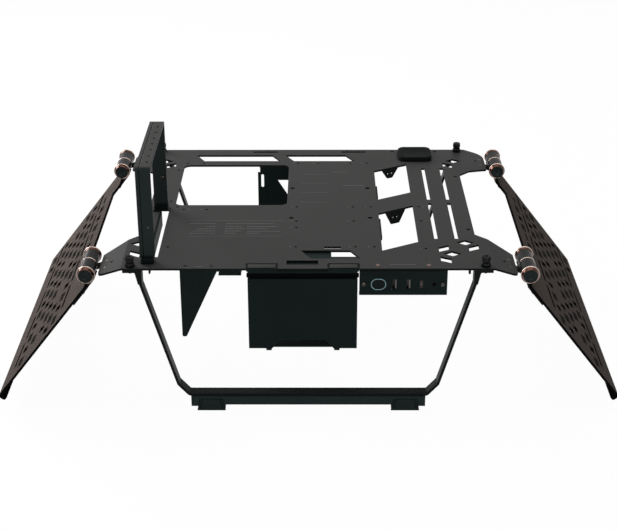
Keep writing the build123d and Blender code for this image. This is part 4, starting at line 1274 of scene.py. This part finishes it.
@dataclass
class CellRims:
    """Dark rims round the openings of a wing: painted shade that makes the openings read darker.

    Attributes:
        node: the wing's node.
        body: the body that it rides on.
        side: the side that the wing is on.
        width: width of a rim.
        film: height of a rim above the sheet.
        longest: longest way round an opening, which leaves out the sheet's own outline.
        square_on: least agreement of a face with the sheet's flat direction.
    """

    node: str
    body: Body
    side: Side
    width: float = 0.5 * MM
    film: float = 0.05 * MM
    longest: float = 150.0 * MM
    square_on: float = 0.999

    @property
    def flat(self) -> Vector:
        """Direction square to the sheet."""
        return square_to(WING_DROOP, self.side)

    @property
    def slope(self) -> Vector:
        """Direction down the sheet, away from the hinges."""
        return down_along(WING_DROOP, self.side)

    def outlines(self) -> list[Points]:
        """Points round each opening, and round the sheet, in its upper face.

        Returns:
            One list of points for each outline.
        """
        bm = welded(self.node)
        bm.normal_update()
        flat = self.flat
        facing_out = {f: f.verts[0].co.dot(flat) for f in bm.faces if f.normal.dot(flat) > self.square_on}
        top = max(facing_out.values())
        upper = {f for f, level in facing_out.items() if abs(level - top) < LEVEL}
        border = [e for e in bm.edges if sum(f in upper for f in e.link_faces) == 1]
        left = set(border)
        outlines = []
        for first in border:
            if first not in left:
                continue
            left.remove(first)
            vert = first.verts[1]
            points = [first.verts[0].co.copy()]
            edge = next((e for e in vert.link_edges if e in left), None)
            while edge is not None:
                points.append(vert.co.copy())
                left.remove(edge)
                vert = edge.other_vert(vert)
                edge = next((e for e in vert.link_edges if e in left), None)
            outlines.append(points)
        bm.free()
        return outlines

    def rim(self, points: Points) -> Shape:
        """A thin rim round one opening.

        Args:
            points: the opening's outline.

        Returns:
            The rim's bmesh.
        """
        centre = middle_of(points)
        down = [(p - centre).dot(self.slope) for p in points]
        along = [p.y - centre.y for p in points]
        wide, long = max(map(abs, down)), max(map(abs, along))
        steps = [self.slope * (d / wide * self.width) + ALONG_Y * (a / long * self.width)
                 for d, a in zip(down, along)]
        bm = bmesh.new()
        inner = [bm.verts.new(p) for p in points]
        outer = [bm.verts.new(p + step) for p, step in zip(points, steps)]
        loops = [bm.edges.new((ring[i - 1], ring[i])) for ring in (inner, outer) for i in range(len(ring))]
        bmesh.ops.bridge_loops(bm, edges=loops)
        raised = bmesh.ops.extrude_face_region(bm, geom=list(bm.faces))["geom"]
        tops = [v for v in raised if isinstance(v, bmesh.types.BMVert)]
        bmesh.ops.translate(bm, vec=self.flat * self.film, verts=tops)
        bmesh.ops.recalc_face_normals(bm, faces=bm.faces)
        return bm

    def build(self, shop: Shop) -> None:
        """Lay a rim round every opening.

        Args:
            shop: takes the piece.
        """
        rims = []
        for points in self.outlines():
            way_round = sum((points[i] - points[i - 1]).length for i in range(len(points)))
            if way_round < self.longest:
                rims.append(self.rim(points))
        log.info("%s has %d openings", self.node, len(rims))
        shop.deliver(gather(rims), f"{self.node}_rims", self.body, Slot.WING, finish=BLACK_AND_SHADE)


# Tray


@dataclass
class TrayPrint:
    """Printed marks on the tray: rules, a plain table of lines, and a tick beside each board hole.

    Attributes:
        rules: x from, x to and y of each fine rule, in millimetres.
        lines: the same for the fainter lines of the table.
        ticks: x and y of the ticks, in millimetres.
        rule_width: width of a rule.
        line_width: width of a line of the table.
        dash: length of the dashes that a line is broken into.
        dash_pitch: spacing of the dashes.
        tick_size: size of a tick.
        film: thickness of the print.
    """

    rules: tuple[tuple[float, float, float], ...] = (
        (-10.5, 25.0, 102.2), (-10.5, 25.0, 69.2), (-10.5, 25.0, 36.8), (-10.5, 25.0, 3.1),
        (-149.8, -32.3, -56.7), (-148.4, -32.6, -105.0))
    lines: tuple[tuple[float, float, float], ...] = (
        (-148.3, -116.8, -66.2), (-128.0, -116.6, -75.6), (-140.0, -116.4, -82.4), (-143.4, -116.2, -89.4),
        (-146.4, -116.1, -96.2), (-103.7, -43.3, -66.2), (-104.2, -84.0, -75.6), (-104.2, -79.6, -82.2),
        (-104.0, -84.6, -89.4), (-104.0, -90.0, -96.2), (-76.4, -39.0, -75.6), (-76.4, -51.0, -82.2),
        (-76.2, -35.0, -90.4), (-76.2, -60.0, -96.2), (96.7, 127.3, -187.5), (-131.1, -123.3, -193.1),
        (32.6, 53.2, 110.5), (46.1, 74.3, 61.7))
    ticks: tuple[tuple[float, float], ...] = (
        (-21.5, 144.9), (5.9, 144.9), (50.8, 144.9), (73.7, 144.9), (-21.5, -12.6), (50.8, -12.6),
        (73.7, -12.6), (-21.5, -58.3), (50.8, -58.3), (-21.5, -78.4), (-21.5, -137.0), (50.8, -137.0),
        (73.7, -137.0), (148.5, -11.7), (148.5, -57.9), (136.3, -142.0), (-137.8, -20.5), (-154.6, -20.4))
    rule_width: float = 0.5 * MM
    line_width: float = 1.3 * MM
    dash: float = 2.3 * MM
    dash_pitch: float = 3.1 * MM
    tick_size: float = 1.5 * MM
    film: float = 0.04 * MM

    def mark(self, x_from: float, x_to: float, y: float, width: float) -> Shape:
        """One printed mark on the tray's top face.

        Args:
            x_from: its left end.
            x_to: its right end.
            y: its middle line.
            width: its width.

        Returns:
            The mark's bmesh.
        """
        low = Vector((x_from, y - width / 2, TRAY_HIGH.z))
        return bar(low, Vector((x_to, y + width / 2, TRAY_HIGH.z + self.film)))

    def dashes(self, x_from: float, x_to: float, y: float) -> list[Shape]:
        """The dashes of one fainter line.

        Args:
            x_from: its left end.
            x_to: its right end.
            y: its middle line.

        Returns:
            One bmesh for each dash.
        """
        count = math.ceil((x_to - x_from) / self.dash_pitch)
        starts = [x_from + step * self.dash_pitch for step in range(count)]
        return [self.mark(start, min(start + self.dash, x_to), y, self.line_width) for start in starts]

    def build(self, shop: Shop) -> None:
        """Lay the marks on the tray.

        Args:
            shop: takes the pieces.
        """
        half = self.tick_size / 2
        marks = [self.mark(*(Vector(rule) * MM), self.rule_width) for rule in self.rules]
        marks += [self.mark(x * MM - half, x * MM + half, y * MM, self.tick_size) for x, y in self.ticks]
        shop.deliver(gather(marks), "printed_marks", Body.ROOT, Slot.TRAY, finish=PRINT)
        faint = [dash for line in self.lines for dash in self.dashes(*(Vector(line) * MM))]
        shop.deliver(gather(faint), "printed_lines", Body.ROOT, Slot.TRAY, finish=FAINT_PRINT)


@dataclass
class TrayStuds:
    """Dark stud heads that sit level in the tray, and one stud tip under its front edge.

    Attributes:
        places: x and y of the heads beside the pad and on the right strip, in millimetres.
        head: the heads.
        tip: x and y of the stud under the front edge, in millimetres.
        tip_radius: radius of that stud.
        tip_reach: how far it reaches below the panel's flange.
        tip_end: radius of its end and start of its point, as shares of its radius and reach.
        tip_facets: facets round it.
    """

    places: tuple[tuple[float, float], ...] = (
        (117.8, 191.0), (178.4, 190.8), (199.3, 93.9), (199.1, -84.6))
    head: StudHead =StudHead(radius=2.5 * MM, proud=0.08 * MM, depth=1.0 * MM, dimple=(0.5, 0.4))
    tip: tuple[float, float] = (190.5, -194.0)
    tip_radius: float = 1.5 * MM
    tip_reach: float = 6.5 * MM
    tip_end: tuple[float, float] = (0.7, 0.9)
    tip_facets: int = 20

    def stud_tip(self) -> Shape:
        """The stud under the front edge, below z = 0.

        Returns:
            The stud's bmesh.
        """
        end, point = self.tip_radius * self.tip_end[0], self.tip_reach * self.tip_end[1]
        return turned([(0.0, -self.tip_reach), (end, -self.tip_reach), (self.tip_radius, -point),
                       (self.tip_radius, 0.0), (0.0, 0.0)], self.tip_facets)

    def build(self, shop: Shop) -> None:
        """Set the studs.

        Args:
            shop: takes the piece.
        """
        studs = [settle(self.head.shape(), Vector((x * MM, y * MM, TRAY_HIGH.z))) for x, y in self.places]
        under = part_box("front_panel")[1].z
        studs.append(settle(self.stud_tip(), Vector((self.tip[0] * MM, self.tip[1] * MM, under))))
        shop.deliver(gather(studs), "tray_studs", Body.ROOT, Slot.FITTINGS, finish=BLACK_AND_SHADE)


@dataclass
class EarStuds:
    """A dark stud head on each ear, inward of its two hinge screws.

    Attributes:
        droop: how far the ears lean down.
        inward: step from the screws towards the tray.
        head: the heads.
    """

    droop: float
    inward: float = 7.0 * MM
    head: StudHead = StudHead(radius=1.9 * MM, proud=0.15 * MM, depth=0.8 * MM, dimple=(0.55, 0.45))

    def build(self, shop: Shop) -> None:
        """Set a stud on each ear.

        Args:
            shop: takes the piece.
        """
        ears: dict[tuple[Side, bool], Points] = {}
        for points in solids_of("ear_screws"):
            ears.setdefault((side_of(points), middle_of(points).y > 0), []).extend(points)
        studs = []
        for (side, _), points in ears.items():
            axis = square_to(self.droop, side)
            middle = middle_of(points)
            top = max((p - middle).dot(axis) for p in points)
            place = middle + axis * top - down_along(self.droop, side) * self.inward
            studs.append(settle(self.head.shape(), place, axis))
        shop.deliver(gather(studs), "ear_studs", Body.ROOT, Slot.FITTINGS, finish=BLACK_AND_SHADE)


@dataclass
class EdgeGuards:
    """Soft strips clipped inside the left edges of the cable windows.

    Attributes:
        edge: x of those edges.
        runs: y from and to of each strip, in millimetres.
        wide: width of a strip.
        drop: reach of a strip below the tray's top face.
        sink: top of a strip below that face.
        soft: rounding of a strip's edges.
    """

    edge: float = 89.5 * MM
    runs: tuple[tuple[float, float], ...] = ((-106.0, -50.0), (22.0, 60.0))
    wide: float = 1.8 * MM
    drop: float = 5.5 * MM
    sink: float = 0.3 * MM
    soft: float = 0.5 * MM

    def build(self, shop: Shop) -> None:
        """Set a strip in each window.

        Args:
            shop: takes the piece.
        """
        strips = []
        for y_from, y_to in self.runs:
            low = Vector((self.edge, y_from * MM, TRAY_HIGH.z - self.drop))
            strip = bar(low, Vector((self.edge + self.wide, y_to * MM, TRAY_HIGH.z - self.sink)))
            soften(strip, list(strip.edges), self.soft)
            strips.append(strip)
        shop.deliver(gather(strips), "edge_guards", Body.ROOT, Slot.RUBBER)


@dataclass
class SocketContacts:
    """Contact strips on the tongues of the upright sockets.

    Attributes:
        node: node of the tongues.
        count: strips on a tongue.
        pitch: spacing of the strips.
        tall: height of a strip.
        thick: thickness of a strip.
        long: reach of a strip from the tongue's front.
        inset: start of a strip behind that front.
    """

    node: str = "usb_a_tongues"
    count: int = 4
    pitch: float = 2.5 * MM
    tall: float = 1.0 * MM
    thick: float = 0.12 * MM
    long: float = 6.0 * MM
    inset: float = 0.3 * MM

    def build(self, shop: Shop) -> None:
        """Lay the strips along the left face of each tongue.

        Args:
            shop: takes the piece.
        """
        strips = []
        for points in solids_of(self.node):
            tongue = end_points(points, -ALONG_Y)
            front = min(p.y for p in tongue)
            left = min(p.x for p in tongue)
            middle = middle_of(tongue).z
            for i in range(self.count):
                z = middle + (i - (self.count - 1) / 2) * self.pitch
                low = Vector((left - self.thick, front + self.inset, z - self.tall / 2))
                strips.append(bar(low, Vector((left, front + self.long, z + self.tall / 2))))
        shop.deliver(gather(strips), "socket_contacts", Body.ROOT, Slot.COPPER, finish=CONTACT)


@dataclass
class RestPad:
    """Soft pad on the tray, with rounded corners, a soft rim and a shallow dish.

    Attributes:
        node: CAD node that it stands for.
        corner: rounding of the corners.
        corner_steps: facets round a corner.
        rim: rounding of the rim.
        rim_steps: facets over the rim.
        border: flat border round the dish.
        dish: depth of the dish.
    """

    node: str = "tray_pad"
    corner: float = 9.0 * MM
    corner_steps: int = 8
    rim: float = 1.6 * MM
    rim_steps: int = 4
    border: float = 3.5 * MM
    dish: float = 0.5 * MM

    @staticmethod
    def top_face(bm: Shape) -> bmesh.types.BMFace:
        """The highest face of a shape."""
        return max(bm.faces, key=lambda f: f.calc_center_median().z)

    def build(self, shop: Shop) -> None:
        """Shape the pad from the node's box.

        Args:
            shop: takes the piece.
        """
        bm = bar(*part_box(self.node))
        upright = [e for e in bm.edges if abs(e.verts[0].co.z - e.verts[1].co.z) > self.rim]
        soften(bm, upright, self.corner, self.corner_steps)
        soften(bm, list(self.top_face(bm).edges), self.rim, self.rim_steps)
        top = self.top_face(bm)
        bmesh.ops.inset_region(bm, faces=[top], thickness=self.border, depth=0.0)
        bmesh.ops.inset_region(bm, faces=[top], thickness=self.border / 2, depth=-self.dish)
        bmesh.ops.recalc_face_normals(bm, faces=bm.faces)
        shop.deliver(bm, "rest_pad", Body.ROOT, Slot.RUBBER, finish=PAD, replaces=(self.node,))


@dataclass
class HookFaces:
    """Coated tops of the front bracket's hooks, level with the tray, each in a black frame of painted shade for
    the gap round it.

    Attributes:
        places: x of the middles of the hooks, in millimetres.
        wide: width of a hook.
        front: start of a face behind the tray's front edge.
        deep: reach of a face from there.
        proud: top of a face above the tray's.
        thick: thickness of a face.
        gap_shade: width of the painted shade round a face.
        film: height of that painted shade above the tray.
        soft: rounding of a face's edges.
    """

    places: tuple[float, ...] = (-54.2, 42.2)
    wide: float = 33.0 * MM
    front: float = 1.8 * MM
    deep: float = 10.0 * MM
    proud: float = 0.08 * MM
    thick: float = 0.45 * MM
    gap_shade: float = 0.9 * MM
    film: float = 0.03 * MM
    soft: float = 0.12 * MM

    def plate(self, x: float, grow: float, top: float) -> Shape:
        """A thin plate on one hook.

        Args:
            x: middle of the hook, in millimetres.
            grow: how far the plate reaches past the face on each side.
            top: its top above the tray's.

        Returns:
            The plate's bmesh.
        """
        half, front = self.wide / 2 + grow, TRAY_LOW.y + self.front - grow
        start = Vector((x * MM - half, front, TRAY_HIGH.z + top - self.thick))
        return bar(start, start + Vector((2 * half, self.deep + 2 * grow, self.thick)))

    def build(self, shop: Shop) -> None:
        """Lay a face and its frame of painted shade on each hook.

        Args:
            shop: takes the pieces.
        """
        faces = [self.plate(x, 0.0, self.proud) for x in self.places]
        for face in faces:
            soften(face, list(face.edges), self.soft)
        shop.deliver(gather(faces), "hook_faces", Body.ROOT, Slot.TRAY)
        shade_strips = [self.plate(x, self.gap_shade, self.film) for x in self.places]
        shop.deliver(gather(shade_strips), "hook_gap_painted_shade", Body.ROOT, Slot.TRAY, finish=BLACK_AND_SHADE)


@dataclass
class BracketShadeBand:
    """Dark band in the jog of the front bracket: painted shade where the jog lies under the tray's edge.

    Attributes:
        node: the bracket's node.
        jog_depth: depth of the jog behind the bracket's face.
        top: upper edge of the band below the tray's top face.
        tall: height of the band.
        film: thickness of the band.
    """

    node: str = "power_bracket_front"
    jog_depth: float = 3.5 * MM
    top: float = 7.2 * MM
    tall: float = 6.0 * MM
    film: float = 0.06 * MM

    def build(self, shop: Shop) -> None:
        """Lay the band along the jog.

        Args:
            shop: takes the piece.
        """
        low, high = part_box(self.node)
        back, top = low.y + self.jog_depth, TRAY_HIGH.z - self.top
        band = bar(Vector((low.x, back - self.film, top - self.tall)), Vector((high.x, back, top)))
        # The band paints the shade in the jog.
        shop.deliver(band, "bracket_painted_shade", Body.ROOT, Slot.SHEET, finish=BLACK_AND_SHADE)


# Feet


@dataclass
class FootJointShade:
    """Dark lines of painted shade round the rubber feet and between each leg and its foot bar.

    Attributes:
        wide: width of a line.
        proud: how far a line stands out of the faces.
        depth: how far a line is let in.
        side_inset: distance from a foot's side to the line on its face.
    """

    wide: float = 0.9 * MM
    proud: float = 0.08 * MM
    depth: float = 0.5 * MM
    side_inset: float = 3.0 * MM

    def strip(self, start: Vector, end: Vector, out: float) -> Shape:
        """A thin strip between two points of a face.

        Args:
            start: one end, on the face.
            end: the other end.
            out: +1 or -1, the way along Y that the face looks.

        Returns:
            The strip's bmesh.
        """
        run = end - start
        size = Vector((run.length + self.wide, self.proud + self.depth, self.wide))
        middle = (start + end) / 2 + ALONG_Y * (out * (self.proud - self.depth) / 2)
        return block(size, middle, Matrix.Rotation(-math.atan2(run.z, run.x), 3, "Y"))

    def foot(self, node: str, out: float) -> list[Shape]:
        """Painted shade lines of one rubber foot: round its sides and top, and down its face.

        Args:
            node: the foot's node.
            out: +1 or -1, the way along Y that its outer face looks.

        Returns:
            The lines.
        """
        face = end_points(solids_of(node)[0], ALONG_Y * out)
        upper, lower = (sorted(end_points(face, way), key=lambda p: p.x) for way in (UP, -UP))
        left, right = (lower[0], upper[0]), (lower[-1], upper[-1])
        step = Vector((self.side_inset, 0.0, 0.0))
        sides = [left, right, (left[0] + step, left[1] + step), (right[0] - step, right[1] - step)]
        shade_strips = [self.strip(start + UP * self.wide, end, out) for start, end in sides]
        return shade_strips + [self.strip(left[1], right[1], out)]

    def build(self, shop: Shop) -> None:
        """Lay the painted shade lines on the outer faces of the feet and foot bars.

        Args:
            shop: takes the piece.
        """
        shade_strips = []
        for end, out in (("front", -1.0), ("rear", 1.0)):
            for side in ("left", "right"):
                shade_strips += self.foot(f"rubber_foot_{side}_{end}", out)
            low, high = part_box(f"foot_bar_{end}")
            face = high.y if out > 0 else low.y
            level = high.z - self.wide / 2
            ends = [Vector((x, face, level)) for x in (low.x + self.wide, high.x - self.wide)]
            shade_strips.append(self.strip(*ends, out))
        shop.deliver(gather(shade_strips), "foot_joint_painted_shade", Body.ROOT, Slot.RUBBER, finish=BLACK_AND_SHADE)


# Carried-over nodes


@dataclass
class FrameDress:
    """Finishes of the CAD nodes that stay in view.

    Attributes:
        special: finishes that aren't a slot's own, each with the nodes that take it.
    """

    special: tuple[tuple[Finish, tuple[str, ...]], ...] = (
        (TONGUE, ("usb_a_tongues",)),
        (SHELL, ("usb_a_port_inner", "usb_a_port_outer")),
        (PORT, ("usb_c_port",)),
        (wing_coat("wing_left_coat", Side.LEFT), ("wing_left",)),
        (wing_coat("wing_right_coat", Side.RIGHT), ("wing_right",)),
        (FOOT, ("foot_bar_front", "foot_bar_rear")),
        (LEG, ("leg_frame_front", "leg_frame_rear")),
        (FRAME_COAT, ("slot_frame",)),
        (FOOT_PAD, ("rubber_foot_left_front", "rubber_foot_left_rear", "rubber_foot_right_front",
                    "rubber_foot_right_rear")))

    def build(self, dresser: Dresser) -> None:
        """Give every node the finish of its slot, or its own.

        Args:
            dresser: makes and puts on the finishes.
        """
        own = {node: finish for finish, nodes in self.special for node in nodes}
        for part in frame["record"]["subparts"]:
            node = part["node"]
            dresser.dress(frame["nodes"][node], own.get(node, FINISHES[Slot(part["material_slot"])]))


# Studio


@dataclass(frozen=True)
class Lamp:
    """A soft rectangular lamp that points at the bench.

    Attributes:
        name: the lamp's name.
        place: its middle.
        size: its width and height.
        power: its power in watts.
    """

    name: str
    place: Vector
    size: tuple[float, float]
    power: float


@dataclass
class Studio:
    """Floor, world, lamps and camera.

    Attributes:
        floor_size: side of the floor.
        floor_white: how far the floor is plain white to the eye. The rest is paper that takes a shadow.
        paper: grey of that paper.
        ambient: strength of the world's light from the left and from the right.
        target: point that the lamps look at.
        camera_place: place of the camera.
        pitch: how far it looks down.
        yaw: how far it is turned to the left.
        roll: how far it is tilted about its own axis.
        lens: its focal length, in millimetres.
        sensor: width of its sensor, in millimetres.
        lamps: the soft lamps.
    """

    floor_size: float = 40.0
    floor_white: float = 0.97
    paper: float = 0.85
    ambient: tuple[float, float] = (0.42, 0.10)
    target: Vector = Vector((0.0, 0.0, 0.15))
    camera_place: Vector = Vector((11.71, -1653.16, 884.0)) * MM
    pitch: float = math.radians(25.2516)
    yaw: float = math.radians(0.4247)
    roll: float = math.radians(-0.2042)
    lens: float = 80.207
    sensor: float = 36.0
    lamps: tuple[Lamp, ...] = (
        Lamp("overhead", Vector((0.0, 0.3, 2.4)), (2.6, 1.8), 34.0),
        Lamp("key_left", Vector((-1.3, 0.95, 0.8)), (0.8, 0.8), 28.0),
        Lamp("fill_front", Vector((0.5, -2.6, 0.8)), (1.6, 1.0), 14.0),
    )

    @staticmethod
    def seen(graph: Graph) -> Socket:
        """Tell what the eye sees from what only lights the bench.

        Args:
            graph: graph of the world or the floor.

        Returns:
            1 for what is seen straight, in gloss or through glass, and 0 for the rest.
        """
        path = graph.node("ShaderNodeLightPath").outputs
        shown = graph.math("MAXIMUM", path["Is Camera Ray"], path["Is Glossy Ray"])
        return graph.math("MAXIMUM", shown, path["Is Transmission Ray"])

    def build_world(self) -> None:
        """White to the eye, and to everything else a soft light that is stronger from the left."""
        world = bpy.data.worlds.new("studio")
        bpy.context.scene.world = world
        world.use_nodes = True
        world.node_tree.nodes.clear()
        graph = Graph(world.node_tree)
        way = graph.node("ShaderNodeTexCoord").outputs["Generated"]
        across = graph.node("ShaderNodeSeparateXYZ", {0: way}).outputs["X"]
        strength = graph.fit(across, (-1.0, 1.0), self.ambient)
        soft = graph.node("ShaderNodeBackground", {"Color": WHITE, "Strength": strength}).outputs[0]
        white = graph.node("ShaderNodeBackground", {"Color": WHITE, "Strength": 1.0}).outputs[0]
        both = graph.node("ShaderNodeMixShader", {0: self.seen(graph), 1: soft, 2: white})
        graph.node("ShaderNodeOutputWorld", {"Surface": both.outputs[0]})

    def build_floor(self) -> None:
        """A pale floor that keeps a faint shadow."""
        bm = bmesh.new()
        bmesh.ops.create_grid(bm, x_segments=1, y_segments=1, size=self.floor_size / 2)
        mesh = bpy.data.meshes.new("studio_floor")
        bm.to_mesh(mesh)
        bm.free()
        floor = bpy.data.objects.new("studio_floor", mesh)
        bpy.context.scene.collection.objects.link(floor)
        material = bpy.data.materials.new("studio_paper")
        material.use_nodes = True
        material.node_tree.nodes.clear()
        graph = Graph(material.node_tree)
        grey = (self.paper, self.paper, self.paper, 1.0)
        paper = graph.node("ShaderNodeBsdfDiffuse", {"Color": grey}).outputs[0]
        white = graph.node("ShaderNodeEmission", {"Color": WHITE, "Strength": 1.0}).outputs[0]
        share = graph.math("MULTIPLY", self.seen(graph), self.floor_white)
        both = graph.node("ShaderNodeMixShader", {0: share, 1: paper, 2: white})
        graph.node("ShaderNodeOutputMaterial", {"Surface": both.outputs[0]})
        mesh.materials.append(material)

    def build_lamps(self) -> None:
        """Set up the soft lamps."""
        for lamp in self.lamps:
            data = bpy.data.lights.new(lamp.name, "AREA")
            data.shape = "RECTANGLE"
            data.size, data.size_y = lamp.size
            data.energy = lamp.power
            thing = bpy.data.objects.new(lamp.name, data)
            thing.location = lamp.place
            thing.rotation_euler = (self.target - lamp.place).to_track_quat("-Z", "Y").to_euler()
            bpy.context.scene.collection.objects.link(thing)

    def build_camera(self) -> None:
        """The photograph's camera."""
        data = bpy.data.cameras.new("camera")
        data.sensor_fit = "HORIZONTAL"
        data.sensor_width = self.sensor
        data.lens = self.lens
        camera = bpy.data.objects.new("camera", data)
        heading = Matrix.Rotation(self.yaw, 4, "Z") @ Matrix.Rotation(math.pi / 2 - self.pitch, 4, "X")
        turn = heading @ Matrix.Rotation(self.roll, 4, "Z")
        camera.matrix_world = Matrix.Translation(self.camera_place) @ turn
        bpy.context.scene.collection.objects.link(camera)
        bpy.context.scene.camera = camera

    def build(self) -> None:
        """Build the whole studio."""
        bpy.context.scene.view_settings.view_transform = "Standard"
        self.build_world()
        self.build_floor()
        self.build_lamps()
        self.build_camera()


@dataclass
class TestBench:
    """The whole dressed bench.

    Attributes:
        ear_droop: how far the tray's ears lean down.
    """

    ear_droop: float = math.radians(17.0)

    def screw_sets(self) -> list[ScrewSet]:
        """Every set of small screws.

        Returns:
            The sets.
        """
        ear, wing = (square_to(droop, Side.RIGHT) for droop in (self.ear_droop, WING_DROOP))
        return [
            ScrewSet("tray_screws", Body.ROOT, Slot.COPPER, UP, finish=TRAY_SCREW),
            ScrewSet("gusset_screws", Body.ROOT, Slot.FITTINGS, UP),
            ScrewSet("ear_screws", Body.ROOT, Slot.COPPER, ear, mirrored=True, drive=Drive.HEX,
                     finish=EAR_SCREW),
            ScrewSet("panel_screws", Body.ROOT, Slot.FITTINGS, -ALONG_Y, finish=PANEL_SCREW),
            ScrewSet("slot_frame_screws", Body.ROOT, Slot.FITTINGS, ALONG_Y, finish=PANEL_SCREW),
            ScrewSet("wing_screws_left", Body.LEFT, Slot.FITTINGS, wing, mirrored=True, drive=Drive.HEX),
            ScrewSet("wing_screws_right", Body.RIGHT, Slot.FITTINGS, wing, drive=Drive.HEX),
        ]

    def build(self) -> None:
        """Dress the nodes and add the modelled pieces."""
        dresser = Dresser()
        shop = Shop(dresser)
        FrameDress().build(dresser)
        details = [*self.screw_sets(), Thumbscrews(), HingeTrim(), TrayPrint(), TrayStuds(),
                   EarStuds(self.ear_droop), EdgeGuards(), SocketContacts(), RestPad(), HookFaces(),
                   BracketShadeBand(), FootJointShade(), CellRims("wing_left", Body.LEFT, Side.LEFT),
                   CellRims("wing_right", Body.RIGHT, Side.RIGHT)]
        for detail in details:
            detail.build(shop)


def main() -> None:
    """Dress the bench and set up the studio."""
    logging.basicConfig(level=logging.INFO, format="%(name)s: %(message)s")
    TestBench().build()
    Studio().build()


if __name__ == "__main__":
    main()
